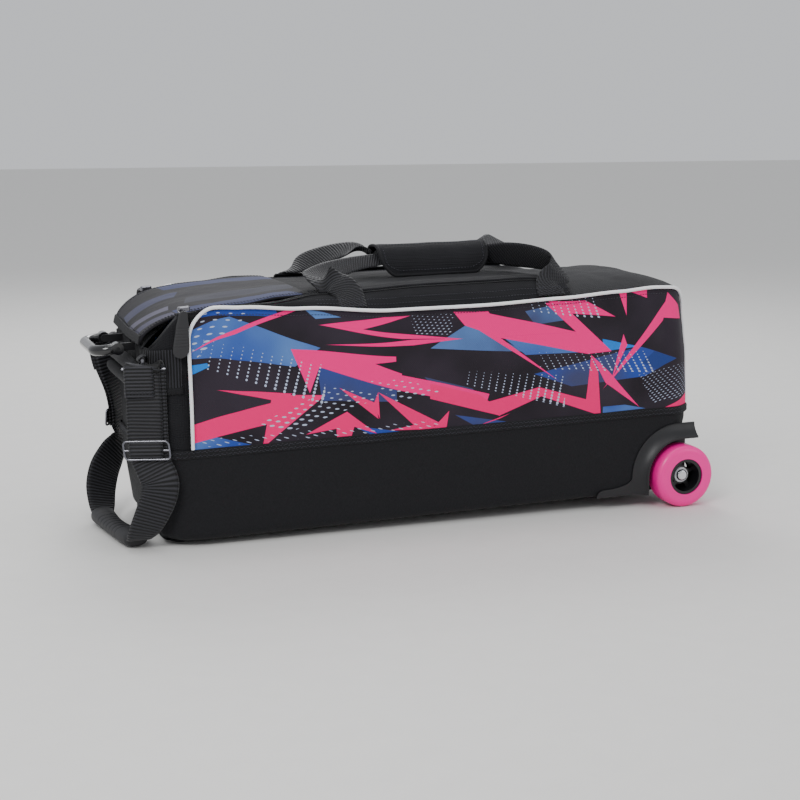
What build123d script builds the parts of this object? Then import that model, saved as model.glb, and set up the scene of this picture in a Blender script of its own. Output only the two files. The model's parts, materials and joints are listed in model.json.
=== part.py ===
from build123d import *
import os
from math import cos, radians, sin, tan

# A three-ball roller bag. It is drawn level, with x along the bag (wheels at +x), the printed
# front face towards -y, and z = 0 on the underside of the base. The last section leans the
# whole bag back onto its wheels and feet, and puts the origin on the floor under its middle.

os.makedirs("parts", exist_ok=True)

# ---------------------------------------------------------------- driving dimensions, mm
body_length = 784.0
body_width = 270.0
corner_radius = 42.0
lean = 1.0                      # degrees that the wheels lift the bag's far end

seam_height = 118.0             # where the rigid base meets the soft walls
band_half = 6.0                 # the seam band reaches this far above and below the seam
band_thickness = 1.5
wall_height = 296.0             # top of the soft walls
end_wall_height = 256.0         # top of the wall at the pull end
base_edge_radius = 12.0
cover_skin = 1.2
tub_wall = 3.0
tub_floor = 4.0
panel_thickness = 4.0
panel_start = -340.0            # the printed panel begins here

fit_gap = 0.3                   # between soft pieces that meet without being joined
running_gap = 0.05              # radial, shaft in bearing or pin in eye

wheel_radius = 45.0
wheel_width = 38.0
wheel_stand_out = 28.0          # outer face of the wheel, proud of the bag's side
axle_inset = 21.0               # axle back from the wheel end of the body
axle_height = 25.0              # axle above the underside of the base
tyre_bore = 26.0
tyre_shoulder = 9.0
hub_rim = 4.5
hub_boss_radius = 13.5
hub_recess = 17.0               # the outer bearing sits this far inside the wheel's outer face
spoke_width = 8.0
bearing_radius = 11.0
bearing_width = 7.0
axle_radius = 6.0
well_depth = 14.0
well_gap = 8.0                  # between tyre and arch
arch_wall = 2.5
housing_plate = 3.0
flare_reach = 15.0
rim_step = 18.5                 # radial width of the flare outside the arch wall
foot_reach = 131.0              # the housing's foot runs this far ahead of the axle

ball_radius = 108.0
bay_pitch = 255.0
cup_length = 200.0
cup_width = 220.0
cup_height = 40.0
divider_thickness = 8.0
divider_height = 150.0

fold_x = -175.0                 # the lid peels back from this line
lid_stop_x = 198.0              # the zips end here
lid_half = 104.0
lid_thickness = 3.0
strip_top = 311.0
lid_crown = 13.0
zip_width = 12.0
zip_thickness = 1.8
end_zip_middle = 126.0          # how far out the zips run beside the lid's free end
end_drop = 10.0                 # the zips fall this much towards the pull end
zip_end_x = -352.0
lid_end_half = 118.5
hem_half = 92.0
hem_x = -396.0
hem_z = 266.0

piping_radius = 2.5
piping_corner = 32.0

strap_width = 50.0
strap_thickness = 2.4
strap_neck = 34.0               # the webbing narrows to this where it enters the grip
tow_x = -397.0
tow_y = -127.0
tow_turn = 20.0                 # degrees that the strap's face turns from the bag's side
tow_hinge_z = 243.0
tow_hinge_y = -112.0
ring_wire = 2.0
glide_z = 128.0
grip_start = (-412.0, -107.0)
grip_end = (-434.0, 44.0)
grip_half_width = 17.0
grip_half_height = 11.0
floor_gap = 0.3

handle_width = 40.0
front_feet_x = (-118.0, 171.0)
back_feet_x = (-128.0, 171.0)
carry_x = (-40.0, 120.0)
carry_z = 347.0
carry_half_width = 27.0
carry_half_height = 17.0
wrap_thickness = 4.0

end_handle_half = 55.0
end_handle_reach = 28.0
end_handle_droop = 3.0
end_handle_x = -417.0
end_handle_z = 251.0
tube_radius = 7.0
pivot_radius = 2.5
eye_radius = 8.0
eye_half = 7.8

slider_length = 16.0
slider_width = 9.0
slider_height = 6.0
puller_length = 66.0
puller_width = 18.0
puller_thickness = 3.5

# ---------------------------------------------------------------- worked out from them
half_length = body_length / 2
half_width = body_width / 2
corner_x = half_length - corner_radius
corner_y = half_width - corner_radius
axle_x = half_length - axle_inset
arch_radius = wheel_radius + well_gap
rim_radius = arch_radius + arch_wall + rim_step
zip_slope = end_drop / (fold_x - zip_end_x)
lid_edge_top = strip_top + zip_thickness
up = Vector(sin(radians(lean)), 0, cos(radians(lean)))
floor_point = Vector(axle_x, 0, axle_height) - up * wheel_radius
floor_plane = Plane(origin=floor_point, x_dir=(up.Z, 0, -up.X), z_dir=up)

pieces = []


def floor_z(x):
    """The floor's height below the leaning bag, in the bag's own level frame."""
    return floor_point.Z - (x - floor_point.X) * tan(radians(lean))


def side_plane(stand_out):
    """A plane on the front side, centred on the axle, facing outwards."""
    return Plane(
        origin=(axle_x, -half_width - stand_out, axle_height), x_dir=(1, 0, 0), z_dir=(0, -1, 0)
    )


def keep(piece, label):
    """Label a finished piece and put it on the list."""
    piece.part.label = label
    pieces.append(piece.part)


def keep_mirrored(front, label):
    """Make the same piece again on the back side."""
    with BuildPart() as back:
        mirror(front, about=Plane.XZ)
    keep(back, label)


def body_outline(grow):
    """The body's outline in plan, larger all round by grow."""
    RectangleRounded(body_length + 2 * grow, body_width + 2 * grow, corner_radius + grow)


def well_face(stand_out, radius, past_end, below):
    """The wheel well's outline: an arch, open downwards and past the wheel end."""
    with BuildSketch(side_plane(stand_out)) as face:
        with BuildLine():
            Polyline((-radius, 0), (-radius, -below), (past_end, -below), (past_end, radius), (0, radius))
            CenterArc((0, 0), radius, 90, 90)
        make_face()
    return face.sketch


def wall(x_low, x_high, y_low, y_high, z_low, z_high, inner, outer):
    """A stretch of the body's wall, between two outlines and inside a plan rectangle."""
    with BuildPart() as stretch:
        with BuildSketch(Plane.XY.offset(z_low)):
            body_outline(outer)
            with BuildSketch(Plane.XY.offset(z_low), mode=Mode.SUBTRACT):
                body_outline(inner)
        extrude(amount=z_high - z_low)
        with BuildSketch(Plane.XY.offset(z_low)):
            with Locations(((x_low + x_high) / 2, (y_low + y_high) / 2)):
                Rectangle(x_high - x_low, y_high - y_low)
        extrude(amount=z_high - z_low, mode=Mode.INTERSECT)
    return stretch


# ---------------------------------------------------------------- rigid base
well_back = -well_depth - housing_plate
cut_face = well_face(
    well_back, arch_radius + arch_wall + fit_gap, axle_inset + corner_radius, axle_height + 1
)
with BuildPart() as well_cut:
    extrude(cut_face, amount=well_depth + housing_plate + 5)
    mirror(about=Plane.XZ)

with BuildPart() as cover_outside:
    with BuildSketch():
        body_outline(0)
    extrude(amount=seam_height)
    fillet(cover_outside.edges().group_by(Axis.Z)[0], base_edge_radius)

with BuildPart() as tub_outside:
    with BuildSketch(Plane.XY.offset(cover_skin)):
        body_outline(-cover_skin)
    extrude(amount=seam_height - cover_skin)
    fillet(tub_outside.edges().group_by(Axis.Z)[0], base_edge_radius - cover_skin)

with BuildPart() as tub_inside:
    with BuildSketch(Plane.XY.offset(cover_skin + tub_floor)):
        body_outline(-cover_skin - tub_wall)
    extrude(amount=seam_height)
    fillet(tub_inside.edges().group_by(Axis.Z)[0], base_edge_radius - cover_skin - tub_wall)

with BuildPart() as base_cover:
    add(cover_outside.part)
    add(tub_outside.part, mode=Mode.SUBTRACT)
    add(well_cut.part, mode=Mode.SUBTRACT)
keep(base_cover, "base_cover")

with BuildPart() as base_tub:
    add(tub_outside.part)
    add(tub_inside.part, mode=Mode.SUBTRACT)
    add(well_cut.part, mode=Mode.SUBTRACT)
keep(base_tub, "base_tub")

foot_size = (70.0, 34.0)
foot_place = (-half_length + 62.0, half_width - 55.0)
with BuildPart() as rest_feet:
    with BuildSketch():
        with Locations(foot_place, (foot_place[0], -foot_place[1])):
            SlotOverall(*foot_size)
    extrude(amount=-20)
    split(bisect_by=floor_plane, keep=Keep.TOP)
keep(rest_feet, "rest_feet")

with BuildPart() as seam_band:
    with BuildSketch(Plane.XY.offset(seam_height - band_half)):
        body_outline(band_thickness)
        with BuildSketch(Plane.XY.offset(seam_height - band_half), mode=Mode.SUBTRACT):
            body_outline(0)
    extrude(amount=2 * band_half)
keep(seam_band, "seam_band")

# ---------------------------------------------------------------- ball cups and dividers
cup_base = cover_skin + tub_floor
for name, bay in (("left", -1), ("middle", 0), ("right", 1)):
    with BuildPart() as ball_cup:
        with BuildSketch(Plane((bay * bay_pitch, 0, cup_base))):
            RectangleRounded(cup_length, cup_width, 20)
        extrude(amount=cup_height)
        with Locations((bay * bay_pitch, 0, cup_base + 8 + ball_radius)):
            Sphere(ball_radius, mode=Mode.SUBTRACT)
    keep(ball_cup, f"ball_cup_{name}")

with BuildPart() as dividers:
    for side in (-1, 1):
        with BuildSketch(Plane((side * bay_pitch / 2, 0, cup_base))):
            Rectangle(divider_thickness, 2 * (half_width - base_edge_radius))
        extrude(amount=divider_height)
keep(dividers, "dividers")

# ---------------------------------------------------------------- soft walls
front_panel = wall(
    panel_start, half_length + 1, -half_width - 1, -corner_y, seam_height, wall_height,
    -panel_thickness, 0,
)
keep(front_panel, "front_panel")
keep_mirrored(front_panel.part, "back_panel")

left_end_panel = wall(
    -half_length - 1, panel_start, -half_width - 1, half_width + 1, seam_height, end_wall_height,
    -panel_thickness, 0,
)
keep(left_end_panel, "left_end_panel")

right_end_panel = wall(
    corner_x, half_length + 1, -corner_y, corner_y, seam_height, wall_height,
    -panel_thickness, 0,
)
keep(right_end_panel, "right_end_panel")

elastic_front = wall(
    -half_length + 6, panel_start - 8, -half_width - 3, -corner_y - 12, end_wall_height - 55,
    end_wall_height, 0, 1.2,
)
with BuildPart() as elastic_panels:
    add(elastic_front.part)
    mirror(about=Plane.XZ)
keep(elastic_panels, "elastic_panels")

piping_x = panel_start + piping_radius
piping_out = half_width + piping_radius
piping_top = wall_height + piping_radius
piping_foot = seam_height + band_half + fit_gap
with BuildPart() as front_piping:
    with BuildLine() as piping_path:
        FilletPolyline(
            (piping_x, -piping_out, piping_foot),
            (piping_x, -piping_out, piping_top),
            (half_length + piping_radius, -piping_out, piping_top),
            (half_length + piping_radius, -corner_y + 40, piping_top),
            (half_length + piping_radius, -corner_y + 40, piping_foot),
            radius=[piping_corner, corner_radius + piping_radius, piping_corner],
        )
    with BuildSketch(Plane((piping_x, -piping_out, piping_foot))):
        Circle(piping_radius)
    sweep(path=piping_path.line)
keep(front_piping, "front_piping")
keep_mirrored(front_piping.part, "back_piping")

# The walls' top edge rises past the piping as a padded strip, up to the zip.
with BuildPart() as front_top_strip:
    with BuildSketch(Plane.YZ.offset(fold_x)):
        with BuildLine():
            Polyline(
                (-half_width + 1, wall_height + fit_gap),
                (-half_width + 5, wall_height + fit_gap),
                (-lid_half - zip_width, strip_top - 3),
                (-lid_half - zip_width, strip_top),
                close=True,
            )
        make_face()
    extrude(amount=lid_stop_x - fold_x)
keep(front_top_strip, "front_top_strip")
keep_mirrored(front_top_strip.part, "back_top_strip")

jog = 2.0                       # the zips step outwards over this length at the fold
end_run = Vector(zip_end_x - fold_x + jog, 0, -end_drop)
with BuildPart() as front_zip_tape:
    with BuildSketch(Plane.YZ.offset(fold_x)):
        with Locations((-lid_half - zip_width / 2, strip_top + zip_thickness / 2)):
            Rectangle(zip_width, zip_thickness)
    extrude(amount=lid_stop_x - fold_x)
    with BuildSketch(Plane.YZ.offset(fold_x - jog)):
        with Locations((-end_zip_middle, strip_top + zip_thickness / 2)):
            Rectangle(zip_width, zip_thickness)
    extrude(amount=end_run.length, dir=end_run)
    with BuildSketch(Plane.YZ.offset(fold_x - jog)):
        with Locations((-(end_zip_middle + zip_width / 2 + lid_half) / 2, strip_top + zip_thickness / 2)):
            Rectangle(end_zip_middle + zip_width / 2 - lid_half, zip_thickness)
    extrude(amount=jog)
keep(front_zip_tape, "front_zip_tape")
keep_mirrored(front_zip_tape.part, "back_zip_tape")

# Sloping gussets that close the corners beside the lid's free end.
shoulder_in = lid_end_half - 12
with BuildPart() as shoulders:
    with BuildSketch(Plane.XZ.offset(shoulder_in)):
        with BuildLine():
            Polyline(
                (fold_x - 2, wall_height + fit_gap),
                (panel_start - 2, wall_height + fit_gap),
                (-half_length + 8, end_wall_height + fit_gap),
                (-half_length + 8, end_wall_height + fit_gap + 3),
                (panel_start, wall_height + 3.2),
                (fold_x - 2, wall_height + 3.2),
                close=True,
            )
        make_face()
    extrude(amount=half_width - 2 - shoulder_in)
    mirror(about=Plane.XZ)
keep(shoulders, "shoulders")

# ---------------------------------------------------------------- lid and closed top
def crown_face(plane, half, edge_z, rise):
    """A crowned band across the bag, as a sketch on an upright plane."""
    with BuildSketch(plane) as band:
        with BuildLine():
            low_z = edge_z - lid_thickness
            top = ThreePointArc((-half, edge_z), (0, edge_z + rise), (half, edge_z))
            under = ThreePointArc((-half, low_z), (0, low_z + rise), (half, low_z))
            Line(top @ 0, under @ 0)
            Line(top @ 1, under @ 1)
        make_face()
    return band.sketch


lid_face = crown_face(
    Plane.YZ.offset(fold_x + fit_gap), lid_half - fit_gap, lid_edge_top, lid_crown
)
with BuildPart() as lid_panel:
    extrude(lid_face, amount=lid_stop_x - fold_x - 2 * fit_gap)
keep(lid_panel, "lid_panel")

end_edge = wall_height + fit_gap + lid_thickness
end_face = crown_face(
    Plane.YZ.offset(lid_stop_x), half_width - 1, end_edge, lid_edge_top + lid_crown - end_edge
)
with BuildPart() as top_end_panel:
    extrude(end_face, amount=half_length - lid_stop_x)
    with BuildSketch(Plane.XY.offset(wall_height)):
        body_outline(-1)
    extrude(amount=60, mode=Mode.INTERSECT)
keep(top_end_panel, "top_end_panel")

lid_end_z = lid_edge_top + lid_thickness + 1
with BuildPart() as lid_end:
    with BuildSketch(Plane.XZ.offset(-lid_end_half)):
        with BuildLine():
            middle = ((fold_x + zip_end_x) / 2, lid_end_z - 0.42 * end_drop)
            shoulder = (zip_end_x + 8, lid_end_z - end_drop)
            top = Spline(
                (fold_x - fit_gap, lid_end_z), middle, shoulder, (hem_x, hem_z + 2 * band_half),
                tangents=[(-1, 0), (-0.25, -1)],
            )
            under = Spline(
                (fold_x - fit_gap, lid_end_z - lid_thickness),
                (middle[0], middle[1] - lid_thickness),
                (shoulder[0] + 1, shoulder[1] - lid_thickness),
                (hem_x + lid_thickness, hem_z + 2 * band_half),
                tangents=[(-1, 0), (-0.25, -1)],
            )
            Line(top @ 0, under @ 0)
            Line(top @ 1, under @ 1)
        make_face()
    extrude(amount=2 * lid_end_half)
    with BuildSketch(Plane.XY):
        with BuildLine():
            Polyline(
                (fold_x, lid_half),
                (fold_x - 8, lid_end_half),
                (zip_end_x + 10, lid_end_half),
                (hem_x - 10, hem_half),
                (hem_x - 10, -hem_half),
                (zip_end_x + 10, -lid_end_half),
                (fold_x - 8, -lid_end_half),
                (fold_x, -lid_half),
                close=True,
            )
        make_face()
    extrude(amount=400, mode=Mode.INTERSECT)
keep(lid_end, "lid_end")

with BuildPart() as lid_hem:
    with BuildSketch(Plane.XY.offset(hem_z)):
        with Locations((hem_x - 0.5, 0)):
            Rectangle(3.5, 2 * hem_half)
    extrude(amount=2 * band_half - fit_gap)
keep(lid_hem, "lid_hem")

# ---------------------------------------------------------------- carry handles
foot_low = Vector(0, -half_width + 1, wall_height + fit_gap)
foot_high = Vector(0, -lid_half - zip_width, strip_top)
foot_rise = (foot_high - foot_low).normalized()
foot_length = (foot_high - foot_low).length
leg_gap = 1.3


def handle_leg(foot_x, side, middle, end):
    """Webbing from its sewn foot on the top strip, round into one end of the grip."""
    out = Vector(0, side * foot_rise.Z, foot_rise.Y)
    rise = Vector(0, -side * foot_rise.Y, foot_rise.Z)
    centre = (foot_low + foot_high) / 2
    root = Vector(foot_x, -side * centre.Y, centre.Z)
    with BuildPart() as leg:
        with BuildSketch(Plane(origin=root - rise + out * leg_gap, x_dir=(1, 0, 0), z_dir=out)):
            Rectangle(handle_width, foot_length - 6)
        extrude(amount=strap_thickness)
        bend = root + rise * (foot_length / 2 - 4) + out * (strap_thickness / 2 + leg_gap)
        with BuildSketch(Plane(origin=bend, x_dir=(1, 0, 0), z_dir=(0, -side * 0.05, 1))):
            Rectangle(handle_width, strap_thickness)
        middle_plane = Plane(origin=middle, x_dir=(0.8, -0.6 * side, 0.1), z_dir=(0.3, -side, 0.9))
        with BuildSketch(middle_plane):
            Rectangle(handle_width, strap_thickness)
        with BuildSketch(Plane(origin=end, x_dir=(0, 1, 0), z_dir=(1, 0, 0))):
            Rectangle(handle_width * 0.5, strap_thickness)
        loft()
    return leg


leg_in = carry_half_width - wrap_thickness - 10
front_left_leg = handle_leg(
    front_feet_x[0], -1, (front_feet_x[0] - 12, -lid_half + 14, strip_top + 30),
    (carry_x[0] - fit_gap, -leg_in, carry_z),
)
keep(front_left_leg, "front_left_leg")
front_right_leg = handle_leg(
    front_feet_x[1], -1, (front_feet_x[1] + 5, -lid_half + 14, strip_top + 34),
    (carry_x[1] + fit_gap, -leg_in, carry_z),
)
keep(front_right_leg, "front_right_leg")
back_left_leg = handle_leg(
    back_feet_x[0], 1, (back_feet_x[0] - 8, lid_half - 14, strip_top + 34),
    (carry_x[0] - fit_gap, leg_in, carry_z),
)
keep(back_left_leg, "back_left_leg")
back_right_leg = handle_leg(
    back_feet_x[1], 1, (back_feet_x[1] + 5, lid_half - 14, strip_top + 34),
    (carry_x[1] + fit_gap, leg_in, carry_z),
)
keep(back_right_leg, "back_right_leg")

carry_plane = Plane(origin=(carry_x[0], 0, carry_z), x_dir=(0, 1, 0), z_dir=(1, 0, 0))
with BuildPart() as grip_wrap:
    with BuildSketch(carry_plane):
        Ellipse(carry_half_width, carry_half_height)
        Ellipse(carry_half_width - wrap_thickness, carry_half_height - wrap_thickness, mode=Mode.SUBTRACT)
    extrude(amount=carry_x[1] - carry_x[0])
keep(grip_wrap, "grip_wrap")

with BuildPart() as grip_core:
    with BuildSketch(carry_plane):
        Ellipse(
            carry_half_width - wrap_thickness - fit_gap, carry_half_height - wrap_thickness - fit_gap
        )
    extrude(amount=carry_x[1] - carry_x[0])
keep(grip_core, "grip_core")

# ---------------------------------------------------------------- wheels
hub_half = wheel_width / 2 - 2
wheel_middle = wheel_stand_out - wheel_width / 2
with BuildPart() as tyre:
    with BuildSketch(side_plane(wheel_middle)):
        Circle(wheel_radius)
        Circle(tyre_bore, mode=Mode.SUBTRACT)
    extrude(amount=wheel_width / 2, both=True)
    fillet(tyre.edges().filter_by(GeomType.CIRCLE).group_by(SortBy.RADIUS)[-1], tyre_shoulder)
keep(tyre, "front_tyre")

bearing_out = wheel_stand_out - hub_recess
bearing_in = wheel_stand_out - wheel_width + 2
with BuildPart() as hub:
    with BuildSketch(side_plane(wheel_middle)):
        Circle(tyre_bore)
        Circle(tyre_bore - hub_rim, mode=Mode.SUBTRACT)
    extrude(amount=hub_half, both=True)
    with BuildSketch(side_plane(bearing_in)):
        Circle(hub_boss_radius)
    extrude(amount=bearing_out - bearing_in)
    with BuildSketch(side_plane(bearing_out - spoke_width - 1)):
        with PolarLocations((tyre_bore - hub_rim + hub_boss_radius) / 2, 5, start_angle=90):
            Rectangle(tyre_bore - hub_rim - hub_boss_radius + 3, 6)
    extrude(amount=spoke_width)
    with BuildSketch(side_plane(bearing_in)):
        Circle(bearing_radius)
    extrude(amount=bearing_width, mode=Mode.SUBTRACT)
    with BuildSketch(side_plane(bearing_out)):
        Circle(bearing_radius)
    extrude(amount=-bearing_width, mode=Mode.SUBTRACT)
    with BuildSketch(side_plane(bearing_in)):
        Circle(bearing_radius - 3)
    extrude(amount=bearing_out - bearing_in, mode=Mode.SUBTRACT)
keep(hub, "front_hub")

with BuildPart() as bearings:
    for start in (bearing_in, bearing_out - bearing_width):
        with BuildSketch(side_plane(start)):
            Circle(bearing_radius)
            Circle(axle_radius + running_gap, mode=Mode.SUBTRACT)
        extrude(amount=bearing_width)
keep(bearings, "front_bearings")

bolt_start = well_back - 8
head_start = bearing_out + 2
with BuildPart() as axle_bolt:
    with BuildSketch(side_plane(bolt_start)):
        Circle(axle_radius)
    extrude(amount=head_start - bolt_start)
    with BuildSketch(side_plane(head_start)):
        Circle(axle_radius + 2.5)
    extrude(amount=4.5)
    fillet(axle_bolt.faces().sort_by(Axis.Y)[0].edges(), 3.5)
keep(axle_bolt, "front_axle_bolt")

collar_start = -well_depth + 2
with BuildPart() as axle_collar:
    with BuildSketch(side_plane(collar_start)):
        Circle(axle_radius + 3)
        Circle(axle_radius, mode=Mode.SUBTRACT)
    extrude(amount=bearing_in - fit_gap - collar_start)
    with BuildSketch(side_plane(bearing_out + fit_gap)):
        Circle(axle_radius + 4.5)
        Circle(axle_radius, mode=Mode.SUBTRACT)
    extrude(amount=head_start - bearing_out - fit_gap)
keep(axle_collar, "front_axle_collars")

with BuildPart() as axle_nut:
    with BuildSketch(side_plane(bolt_start)):
        RegularPolygon(axle_radius + 2.6, 6, rotation=30)
        Circle(axle_radius, mode=Mode.SUBTRACT)
    extrude(amount=7)
    mirror(about=Plane.XZ)
keep(axle_nut, "axle_nuts")

# ---------------------------------------------------------------- wheel housings
flare_end = axle_inset + 5
lining_face = well_face(well_back, arch_radius + arch_wall, axle_inset, axle_height)
with BuildPart() as housing:
    # the arch wall and its hollow flare, swept over the wheel and down its leading side
    with BuildLine(side_plane(0)) as arch_path:
        across = Line((flare_end, arch_radius), (0, arch_radius))
        bend = CenterArc((0, 0), arch_radius, 90, 90)
        down = Line((-arch_radius, 0), (-arch_radius, -axle_height))
    flare_plane = Plane(
        origin=(axle_x + flare_end, -half_width, axle_height + arch_radius),
        x_dir=(0, 0, 1), z_dir=(-1, 0, 0),
    )
    with BuildSketch(flare_plane):
        with BuildLine():
            lip = Line((0, -flare_reach), (arch_wall, -flare_reach))
            cove = RadiusArc(lip @ 1, (arch_wall + rim_step - 2, -housing_plate), 26)
            Polyline(
                cove @ 1, (arch_wall + rim_step, -housing_plate), (arch_wall + rim_step, 0),
                (arch_wall, 0), (arch_wall, well_depth), (0, well_depth), lip @ 0,
            )
        make_face()
    sweep(path=arch_path.line)
    # the foot that reaches forward along the base
    with BuildSketch(side_plane(0)):
        with BuildLine():
            rim = Bezier((-rim_radius + 2, 6), (-rim_radius + 1, -8), (-rim_radius - 14, -13),
                         (-foot_reach + 12, -14))
            tip = Bezier(rim @ 1, (-foot_reach + 4, -14), (-foot_reach, -20),
                         (-foot_reach, -axle_height))
            Polyline(tip @ 1, (-arch_radius - 1, -axle_height), (-arch_radius - 1, 6), rim @ 0)
        make_face()
    extrude(amount=housing_plate)
    # the well's inner wall, with a boss for the axle
    extrude(lining_face, amount=housing_plate)
    with BuildSketch(side_plane(-well_depth)):
        Circle(axle_radius + 7)
    extrude(amount=2)
    with BuildSketch(side_plane(well_back)):
        Circle(axle_radius)
    extrude(amount=housing_plate + 2, mode=Mode.SUBTRACT)
keep(housing, "front_wheel_housing")

screw_angles = (100.0, 150.0, 200.0)
with BuildPart() as housing_screws:
    with BuildSketch(side_plane(-well_depth)):
        for angle in screw_angles:
            with Locations((42 * cos(radians(angle)), 42 * sin(radians(angle)))):
                Circle(3.5)
    extrude(amount=1.6)
    fillet(housing_screws.faces().group_by(Axis.Y)[0].edges(), 1.0)
    mirror(about=Plane.XZ)
keep(housing_screws, "housing_screws")

for front, label in (
    (tyre, "back_tyre"), (hub, "back_hub"), (bearings, "back_bearings"),
    (axle_bolt, "back_axle_bolt"), (axle_collar, "back_axle_collars"),
    (housing, "back_wheel_housing"),
):
    keep_mirrored(front.part, label)

# ---------------------------------------------------------------- tow strap
turn = radians(tow_turn)
strap_across = Vector(cos(turn), -sin(turn), 0)
strap_face = Vector(-sin(turn), -cos(turn), 0)


def strap_plane(z):
    """The front strap's plane at a height, facing outwards."""
    return Plane(origin=(tow_x, tow_y, z), x_dir=strap_across, z_dir=strap_face)


ring_bar_z = tow_hinge_z - 10
ring_half = 9.0
arm = 3.2
with BuildPart() as tow_rings:
    with BuildSketch(Plane.XZ.offset(-tow_hinge_y - ring_half)):
        with Locations((tow_x, tow_hinge_z)):
            Circle(ring_wire)
    extrude(amount=2 * ring_half)
    with BuildSketch(Plane.YZ.offset(tow_x - arm / 2)):
        with Locations((tow_hinge_y, (tow_hinge_z + ring_bar_z) / 2)):
            Rectangle(2 * ring_half, tow_hinge_z - ring_bar_z + arm)
            Rectangle(2 * (ring_half - arm), tow_hinge_z - ring_bar_z - arm, mode=Mode.SUBTRACT)
            with Locations((0, ring_bar_z / 2 - tow_hinge_z / 2 + tow_hinge_z - ring_bar_z)):
                Rectangle(2 * (ring_half - arm), 2 * arm, mode=Mode.SUBTRACT)
    extrude(amount=arm)
    with BuildSketch(Plane.XZ.offset(-tow_hinge_y + ring_half - 1)):
        with Locations((tow_x, ring_bar_z)):
            Rectangle(arm, arm)
    extrude(amount=tow_hinge_y - ring_half + 1 - tow_y)
    with BuildSketch(Plane(origin=(tow_x, tow_y, ring_bar_z), z_dir=strap_across)):
        Circle(ring_wire - 0.1)
    extrude(amount=strap_width / 2 + 3, both=True)
    mirror(about=Plane.XZ)
keep(tow_rings, "tow_rings")

tab_reach = 5.5
with BuildPart() as ring_tabs:
    with BuildSketch(Plane.XZ.offset(-tow_hinge_y - 5)):
        with BuildLine():
            Polyline(
                (-half_length + 1, tow_hinge_z - tab_reach), (tow_x, tow_hinge_z - tab_reach),
                (tow_x, tow_hinge_z + tab_reach), (-half_length + 1, tow_hinge_z + tab_reach),
                close=True,
            )
        make_face()
        with Locations((tow_x, tow_hinge_z)):
            Circle(tab_reach)
            Circle(ring_wire + 4 * running_gap, mode=Mode.SUBTRACT)
    extrude(amount=10)
    mirror(about=Plane.XZ)
keep(ring_tabs, "ring_tabs")

strap_low = floor_z(grip_end[0] - grip_half_width) + floor_gap + grip_half_height
strap_top = tow_hinge_z - 2
doubled_low = glide_z - 13
bend_radius = 14.0
bend_z = 48.0
with BuildPart() as tow_strap_front:
    with BuildSketch(strap_plane((strap_top + doubled_low) / 2).offset(-strap_thickness)):
        Rectangle(strap_width, strap_top - doubled_low)
    extrude(amount=2 * strap_thickness)
    with BuildSketch(Plane(origin=(tow_x, tow_y, doubled_low), x_dir=strap_across, z_dir=(0, 0, -1))):
        Rectangle(strap_width, strap_thickness)
    with BuildSketch(Plane(origin=(grip_start[0], tow_y, bend_z), x_dir=(1, 0, 0), z_dir=(0, 0, -1))):
        Rectangle(strap_neck, strap_thickness)
    loft()
    with BuildSketch(Plane.YZ.offset(grip_start[0] - strap_neck / 2)):
        with BuildLine() as strap_line:
            FilletPolyline(
                (tow_y, bend_z), (tow_y, strap_low), (grip_start[1], strap_low), radius=bend_radius
            )
        trace(lines=strap_line.line, line_width=strap_thickness)
    extrude(amount=strap_neck)
    split(bisect_by=Plane((0, grip_start[1] - 3.2, 0), z_dir=(0, 1, 0)), keep=Keep.BOTTOM)
    add(tow_rings.part, mode=Mode.SUBTRACT)
keep(tow_strap_front, "tow_strap_front")

with BuildPart() as tow_strap_back:
    with BuildSketch(strap_plane((strap_top + doubled_low) / 2).offset(-strap_thickness)):
        Rectangle(strap_width, strap_top - doubled_low)
    extrude(amount=2 * strap_thickness)
    mirror(about=Plane.XZ, mode=Mode.REPLACE)
    back_across = Vector(cos(turn), sin(turn), 0)
    with BuildSketch(Plane(origin=(tow_x, -tow_y, doubled_low), x_dir=back_across, z_dir=(0, 0, -1))):
        Rectangle(strap_width, strap_thickness)
    low_middle = (grip_end[0] - 8, grip_end[1] + 40, bend_z)
    with BuildSketch(Plane(origin=low_middle, x_dir=(0.75, 0.65, 0), z_dir=(0, -0.3, -1))):
        Rectangle(strap_width, strap_thickness)
    neck = (grip_end[0], grip_end[1] + 3.6, strap_low)
    with BuildSketch(Plane(origin=neck, x_dir=(1, 0, 0), z_dir=(0, -1, -0.2))):
        Rectangle(strap_neck - 6, strap_thickness)
    loft()
    add(tow_rings.part, mode=Mode.SUBTRACT)
keep(tow_strap_back, "tow_strap_back")

glide_wire = 3.0
with BuildPart() as tri_glides:
    with BuildSketch(strap_plane(glide_z + 4).offset(strap_thickness + fit_gap)):
        RectangleRounded(strap_width + 2 * glide_wire + 2, 24, 4)
        with Locations((0, 5.25), (0, -5.25)):
            Rectangle(strap_width + 2, 7.5, mode=Mode.SUBTRACT)
    extrude(amount=glide_wire)
    mirror(about=Plane.XZ)
keep(tri_glides, "tri_glides")

grip_run = Vector(grip_end[0] - grip_start[0], grip_end[1] - grip_start[1], 0)
grip_plane = Plane(
    origin=(grip_start[0], grip_start[1], strap_low),
    x_dir=(grip_run.Y, -grip_run.X, 0), z_dir=grip_run,
)
with BuildPart() as tow_grip:
    with BuildSketch(grip_plane):
        Ellipse(grip_half_width, grip_half_height)
    extrude(amount=grip_run.length)
    fillet(tow_grip.edges(), 3.0)
keep(tow_grip, "tow_grip")

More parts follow.
